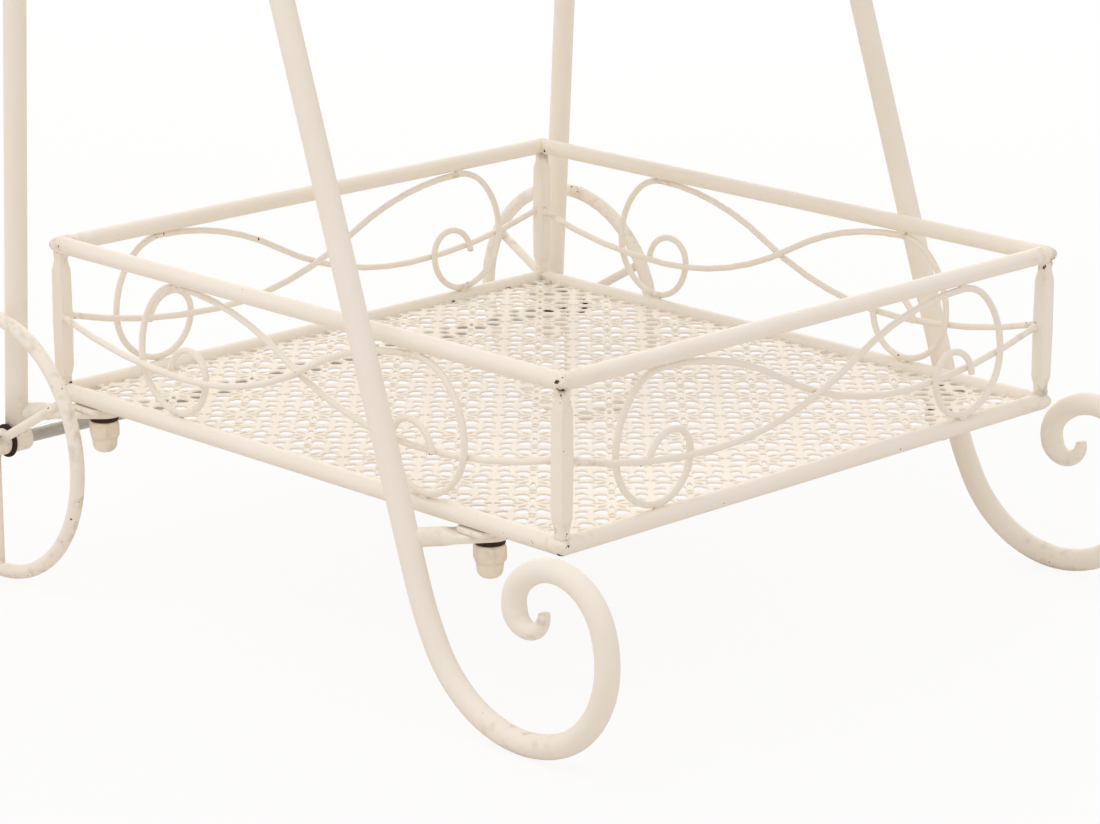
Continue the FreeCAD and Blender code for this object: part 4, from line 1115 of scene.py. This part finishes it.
class FLOWERCART_OT_axle(bpy.types.Operator):
    """Axle rod, its bushes, washers and domed nuts"""

    bl_idname = "flowercart.axle"
    bl_label = "Axle"

    def execute(self, context):
        size = sizes()
        at = Places()
        ends = [place(at.axle_x, 0, at.axle_z, "X", way * math.pi / 2) for way in (-1, 1)]
        radius = size.axle / 2
        rod = skin(lathe(rod_profile(radius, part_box("axle_rod")[1].y, 0.001)))
        piece("axle_steel_rod", rod.moved(ends[0]), "axle_rod", finish="axle_steel")
        bush, bore = at.side_y + BUSH_HALF, radius + 0.0004
        hub = at.wheel_y + HUB_REACH
        for nodes, name, finish, inner, outer, low, high, edge in (
                ("axle_bushes", "axle_bush_tubes", "cream_paint",
                 radius + 0.0001, size.hub / 2, at.side_y - BUSH_HALF, bush, SOFT_EDGE),
                ("inner_axle_washers", "inner_axle_washer_rings", "black_washer",
                 bore, AXLE_WASHER, bush, bush + AXLE_WASHER_PLATE, 0.0003),
                ("outer_axle_washers", "outer_axle_washer_rings", "black_washer",
                 bore, AXLE_WASHER, hub, hub + AXLE_WASHER_PLATE, 0.0003)):
            ring = lathe(rounded_ring(inner, outer, low, high, edge), 36)
            ring = skin(ring, closed=True, wear=0.5)
            both = ring.moved(ends[0]).take(ring.moved(ends[1]))
            if nodes == "axle_bushes":
                for sign in (1, -1):
                    both.take(self.saddle(at).moved(place(0, sign * at.side_y, 0)))
            piece(name, both, nodes, finish=finish)
        nut = dome_nut(size.axle_nut).moved(place(0, 0, hub + AXLE_WASHER_PLATE))
        nuts = nut.moved(ends[0]).take(nut.moved(ends[1]))
        piece("axle_domed_nuts", nuts, "axle_cap_nuts", finish="cream_nut")
        return {"FINISHED"}

    def saddle(self, at):
        """Weld bead round the leg on its bush: a thin ring laid on the bush's curve."""
        size = sizes()
        angle = round_angles(32)[:, None]
        small = round_angles(8)[None, :]
        ripple = 1 + 0.12 * np.sin(9 * angle)
        reach = size.leg_bar / 2 + 0.0011 * ripple * np.cos(small)
        x = reach * np.cos(angle)
        y = np.clip(reach * np.sin(angle), -0.0058, 0.0058)
        radius = size.hub / 2
        bush = (radius - 0.0002) ** 2 - np.minimum(np.abs(x), radius - 0.0008) ** 2
        z = at.axle_z + np.sqrt(np.maximum(bush, 0)) + 0.0012 * ripple * np.sin(small)
        return skin(grid_of(at.axle_x + x, y, z), closed=True, wear=0.8)


class FLOWERCART_OT_wheels(bpy.types.Operator):
    """Wheels: rims bent from round bar, spokes and hubs"""

    bl_idname = "flowercart.wheels"
    bl_label = "Wheels"

    def rim(self, bend, bar):
        """Rim bar bent to a ring; it swells at the weld where its ends meet."""
        around = round_angles(120)
        joint = np.abs(around - 2.2)
        rise = 0.0002
        swell = bar - rise + rise * np.exp(-(joint / 0.02) ** 2)
        grid = bar_grid(bend * np.sin(around), -bend * np.cos(around), around, swell, 24)
        worn = np.maximum(fading(joint, 0.05), 0.25)[:, None]
        outer = 0.5 + 0.5 * np.cos(round_angles(24) + math.pi)
        return skin(grid, closed=True, wear=np.maximum(worn * 0.8, outer * 0.55))

    def spokes(self, bend, bar):
        """Three straight spokes from hub to rim, with a weld bead at each end."""
        size = sizes()
        shape = Shape()
        hub, rim = size.hub / 2, bend - bar
        along = np.linspace(hub - 0.0015, rim + 0.0012, 6)
        ball = bead(size.bead * 1.05, (0.7, 1.3, 1.3))
        for heading in np.radians((30, 150, 270)).tolist():
            x, z = math.cos(heading), math.sin(heading)
            grid = bar_grid(along * x, along * z, np.full(6, heading), size.spoke / 2, 18)
            shape.take(skin(grid, wear=[1.0, 0.3, 0.0, 0.0, 0.3, 1.0]))
            for reach in (hub + 0.0002, rim + 0.0001):
                shape.take(ball.moved(place(reach * x, 0, reach * z, "Y", -heading)))
        return shape

    def execute(self, context):
        size = sizes()
        at = Places()
        bar = size.rim_bar / 2
        low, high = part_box("left_rim")
        bend = (high.z - low.z) / 2 - bar
        low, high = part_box("left_hub")
        half = (high.y - low.y) / 2
        bore = size.axle / 2 + 0.0001
        tube = lathe(rounded_ring(bore, size.hub / 2, -half, half, 0.0007), 36)
        tube = skin(tube, closed=True, wear=0.35).moved(Matrix.Rotation(math.pi / 2, 4, "X"))
        for side, sign in SIDES:
            where = place(at.axle_x, sign * at.wheel_y, at.axle_z)
            for name, shape, nodes in (
                    ("rim_bar", self.rim(bend, bar), "rim"),
                    ("spoke_bars", self.spokes(bend, bar), "spokes"), ("hub_tube", tube, "hub")):
                piece(f"{side}_{name}", shape.moved(where), f"{side}_{nodes}", body=f"{side}_wheel")
        return {"FINISHED"}


class FLOWERCART_OT_handle(bpy.types.Operator):
    """Handle bar across the top and its two screws"""

    bl_idname = "flowercart.handle"
    bl_label = "Handle"

    def execute(self, context):
        size = sizes()
        at = Places()
        x, z = at.handle
        low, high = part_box("handle_bar")
        profile = rod_profile((high.z - low.z) / 2, (high.y - low.y) / 2, 0.0008)
        worn = np.full(len(profile), 0.15)
        worn[[0, 1, -2, -1]] = 0.8
        bar = skin(lathe(profile), wear=worn)
        piece("handle_grip_bar", bar.moved(place(x, 0, z, "X", math.pi / 2)), "handle_bar")
        seat = at.side_y + size.leg_bar / 2
        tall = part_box("handle_screws")[1].y - seat
        wide, brim = size.screw_head / 2, 0.0004
        around = np.linspace(0, math.pi / 2, 8)[1:-1]
        profile = [
            (SCREW_SHANK - 0.0001, -SCREW_LENGTH), (SCREW_SHANK, 0.0005 - SCREW_LENGTH),
            (SCREW_SHANK, -0.0002), (wide - 0.0003, 0.0), (wide, brim),
            *zip(wide * np.cos(around) ** 0.6, brim + (tall - brim) * np.sin(around)),
            (0.0022, tall), (0.0019, tall - 0.0014), (0.0004, tall - 0.0015)]
        head = skin(lathe(profile, 30), wear=0.4)
        screws = Shape()
        for sign in (1, -1):
            screws.take(head.moved(place(x, sign * seat, z, "X", -sign * math.pi / 2)))
        piece("handle_screw_heads", screws, "handle_screws", finish="cream_nut")
        return {"FINISHED"}


class FLOWERCART_OT_stage(bpy.types.Operator):
    """Camera, lamps, floor and white surroundings"""

    bl_idname = "flowercart.stage"
    bl_label = "Stage"

    def execute(self, context):
        stage = context.scene.flowercart_stage
        scene = context.scene
        scene.view_settings.view_transform = "Standard"
        camera = bpy.data.objects.new("camera", bpy.data.cameras.new("camera"))
        scene.collection.objects.link(camera)
        a, e = stage.azimuth, stage.elevation
        back = Vector((math.sin(a) * math.cos(e), -math.cos(a) * math.cos(e), math.sin(e)))
        turned = (-back).to_track_quat("-Z", "Y").to_matrix() @ Matrix.Rotation(stage.roll, 3, "Z")
        camera.matrix_world = Matrix.Translation(stage.camera_place) @ turned.to_4x4()
        camera.data.lens = stage.lens
        camera.data.sensor_width = 36
        camera.data.shift_y = stage.shift_y
        camera.data.clip_start = 0.05
        camera.data.clip_end = 50
        scene.camera = camera

        ground = bpy.data.meshes.new("studio_floor")
        ground.from_pydata([(-6, -6, 0), (6, -6, 0), (6, 6, 0), (-6, 6, 0)], [], [(0, 1, 2, 3)])
        floor = bpy.data.objects.new("studio_floor", ground)
        floor.location.z = -0.0002
        scene.collection.objects.link(floor)
        made, tree, shader, where = start_material("studio_floor")
        shade = noise(tree, where, 3.0, 2.0)
        give(tree, shader, {
            "Base Color": ramp(tree, shade, stage.floor, (0.84, 0.80, 0.765, 1)),
            "Roughness": 0.9, "Specular IOR Level": 0.0})
        white = node(tree, "ShaderNodeEmission", {"Strength": 1.0})
        seen = node(tree, "ShaderNodeLightPath").outputs["Is Camera Ray"]
        blend = node(tree, "ShaderNodeMixShader", {
            0: reckon(tree, "MULTIPLY", seen, stage.glow), 1: shader.outputs[0],
            2: white.outputs[0]})
        give(tree, tree.nodes["Material Output"], {0: blend.outputs[0]})
        ground.materials.append(made)

        world = bpy.data.worlds.new("studio")
        scene.world = world
        world.use_nodes = True
        tree = world.node_tree
        tree.nodes.clear()
        even = node(tree, "ShaderNodeBackground", {
            "Strength": stage.sky, "Color": (1.0, 0.975, 0.955, 1)})
        plain = node(tree, "ShaderNodeBackground", {"Strength": 1.0, "Color": (1, 1, 1, 1)})
        seen = node(tree, "ShaderNodeLightPath").outputs["Is Camera Ray"]
        mix = node(tree, "ShaderNodeMixShader", {0: seen, 1: even.outputs[0], 2: plain.outputs[0]})
        node(tree, "ShaderNodeOutputWorld", {0: mix.outputs[0]})

        for name, power, spot, wide in (
                ("key_lamp", stage.key, (-0.3, -1.0, 3.0), 2.2),
                ("back_lamp", stage.back, (-1.7, 1.9, 1.15), 1.6)):
            lamp = bpy.data.objects.new(name, bpy.data.lights.new(name, "AREA"))
            lamp.data.shape = "DISK"
            lamp.data.size = wide
            lamp.data.energy = power
            lamp.location = spot
            aim = Vector((0, 0, 0.3)) - Vector(spot)
            lamp.rotation_mode = "QUATERNION"
            lamp.rotation_quaternion = aim.to_track_quat("-Z", "Y")
            scene.collection.objects.link(lamp)
        return {"FINISHED"}


class FLOWERCART_PT_panel(bpy.types.Panel):
    """Settings and build steps of the flower cart stand"""

    bl_idname = "FLOWERCART_PT_panel"
    bl_label = "Flower cart stand"
    bl_space_type = "VIEW_3D"
    bl_region_type = "UI"
    bl_category = "Flower Cart"

    def draw(self, context):
        scene = context.scene
        for group in (scene.flowercart_sizes, scene.flowercart_looks, scene.flowercart_stage):
            box = self.layout.box()
            for name in group.__annotations__:
                box.prop(group, name)
        for step in STEPS:
            self.layout.operator(step.bl_idname)


STEPS = (
    FLOWERCART_OT_legs, FLOWERCART_OT_lugs, FLOWERCART_OT_rails, FLOWERCART_OT_posts,
    FLOWERCART_OT_scrolls, FLOWERCART_OT_floors, FLOWERCART_OT_fasteners, FLOWERCART_OT_axle,
    FLOWERCART_OT_wheels, FLOWERCART_OT_handle, FLOWERCART_OT_stage)
GROUPS = (FLOWERCART_PG_sizes, FLOWERCART_PG_looks, FLOWERCART_PG_stage)


def register():
    for cls in (*GROUPS, *STEPS, FLOWERCART_PT_panel):
        bpy.utils.register_class(cls)
    bpy.types.Scene.flowercart_sizes = bpy.props.PointerProperty(type=FLOWERCART_PG_sizes)
    bpy.types.Scene.flowercart_looks = bpy.props.PointerProperty(type=FLOWERCART_PG_looks)
    bpy.types.Scene.flowercart_stage = bpy.props.PointerProperty(type=FLOWERCART_PG_stage)


def unregister():
    del bpy.types.Scene.flowercart_sizes
    del bpy.types.Scene.flowercart_looks
    del bpy.types.Scene.flowercart_stage
    for cls in reversed((*GROUPS, *STEPS, FLOWERCART_PT_panel)):
        bpy.utils.unregister_class(cls)


def main():
    register()
    for step in STEPS:
        family, name = step.bl_idname.split(".")
        if "FINISHED" not in getattr(getattr(bpy.ops, family), name)():
            raise RuntimeError(f"{step.bl_label} did not finish")


if __name__ == "__main__":
    main()
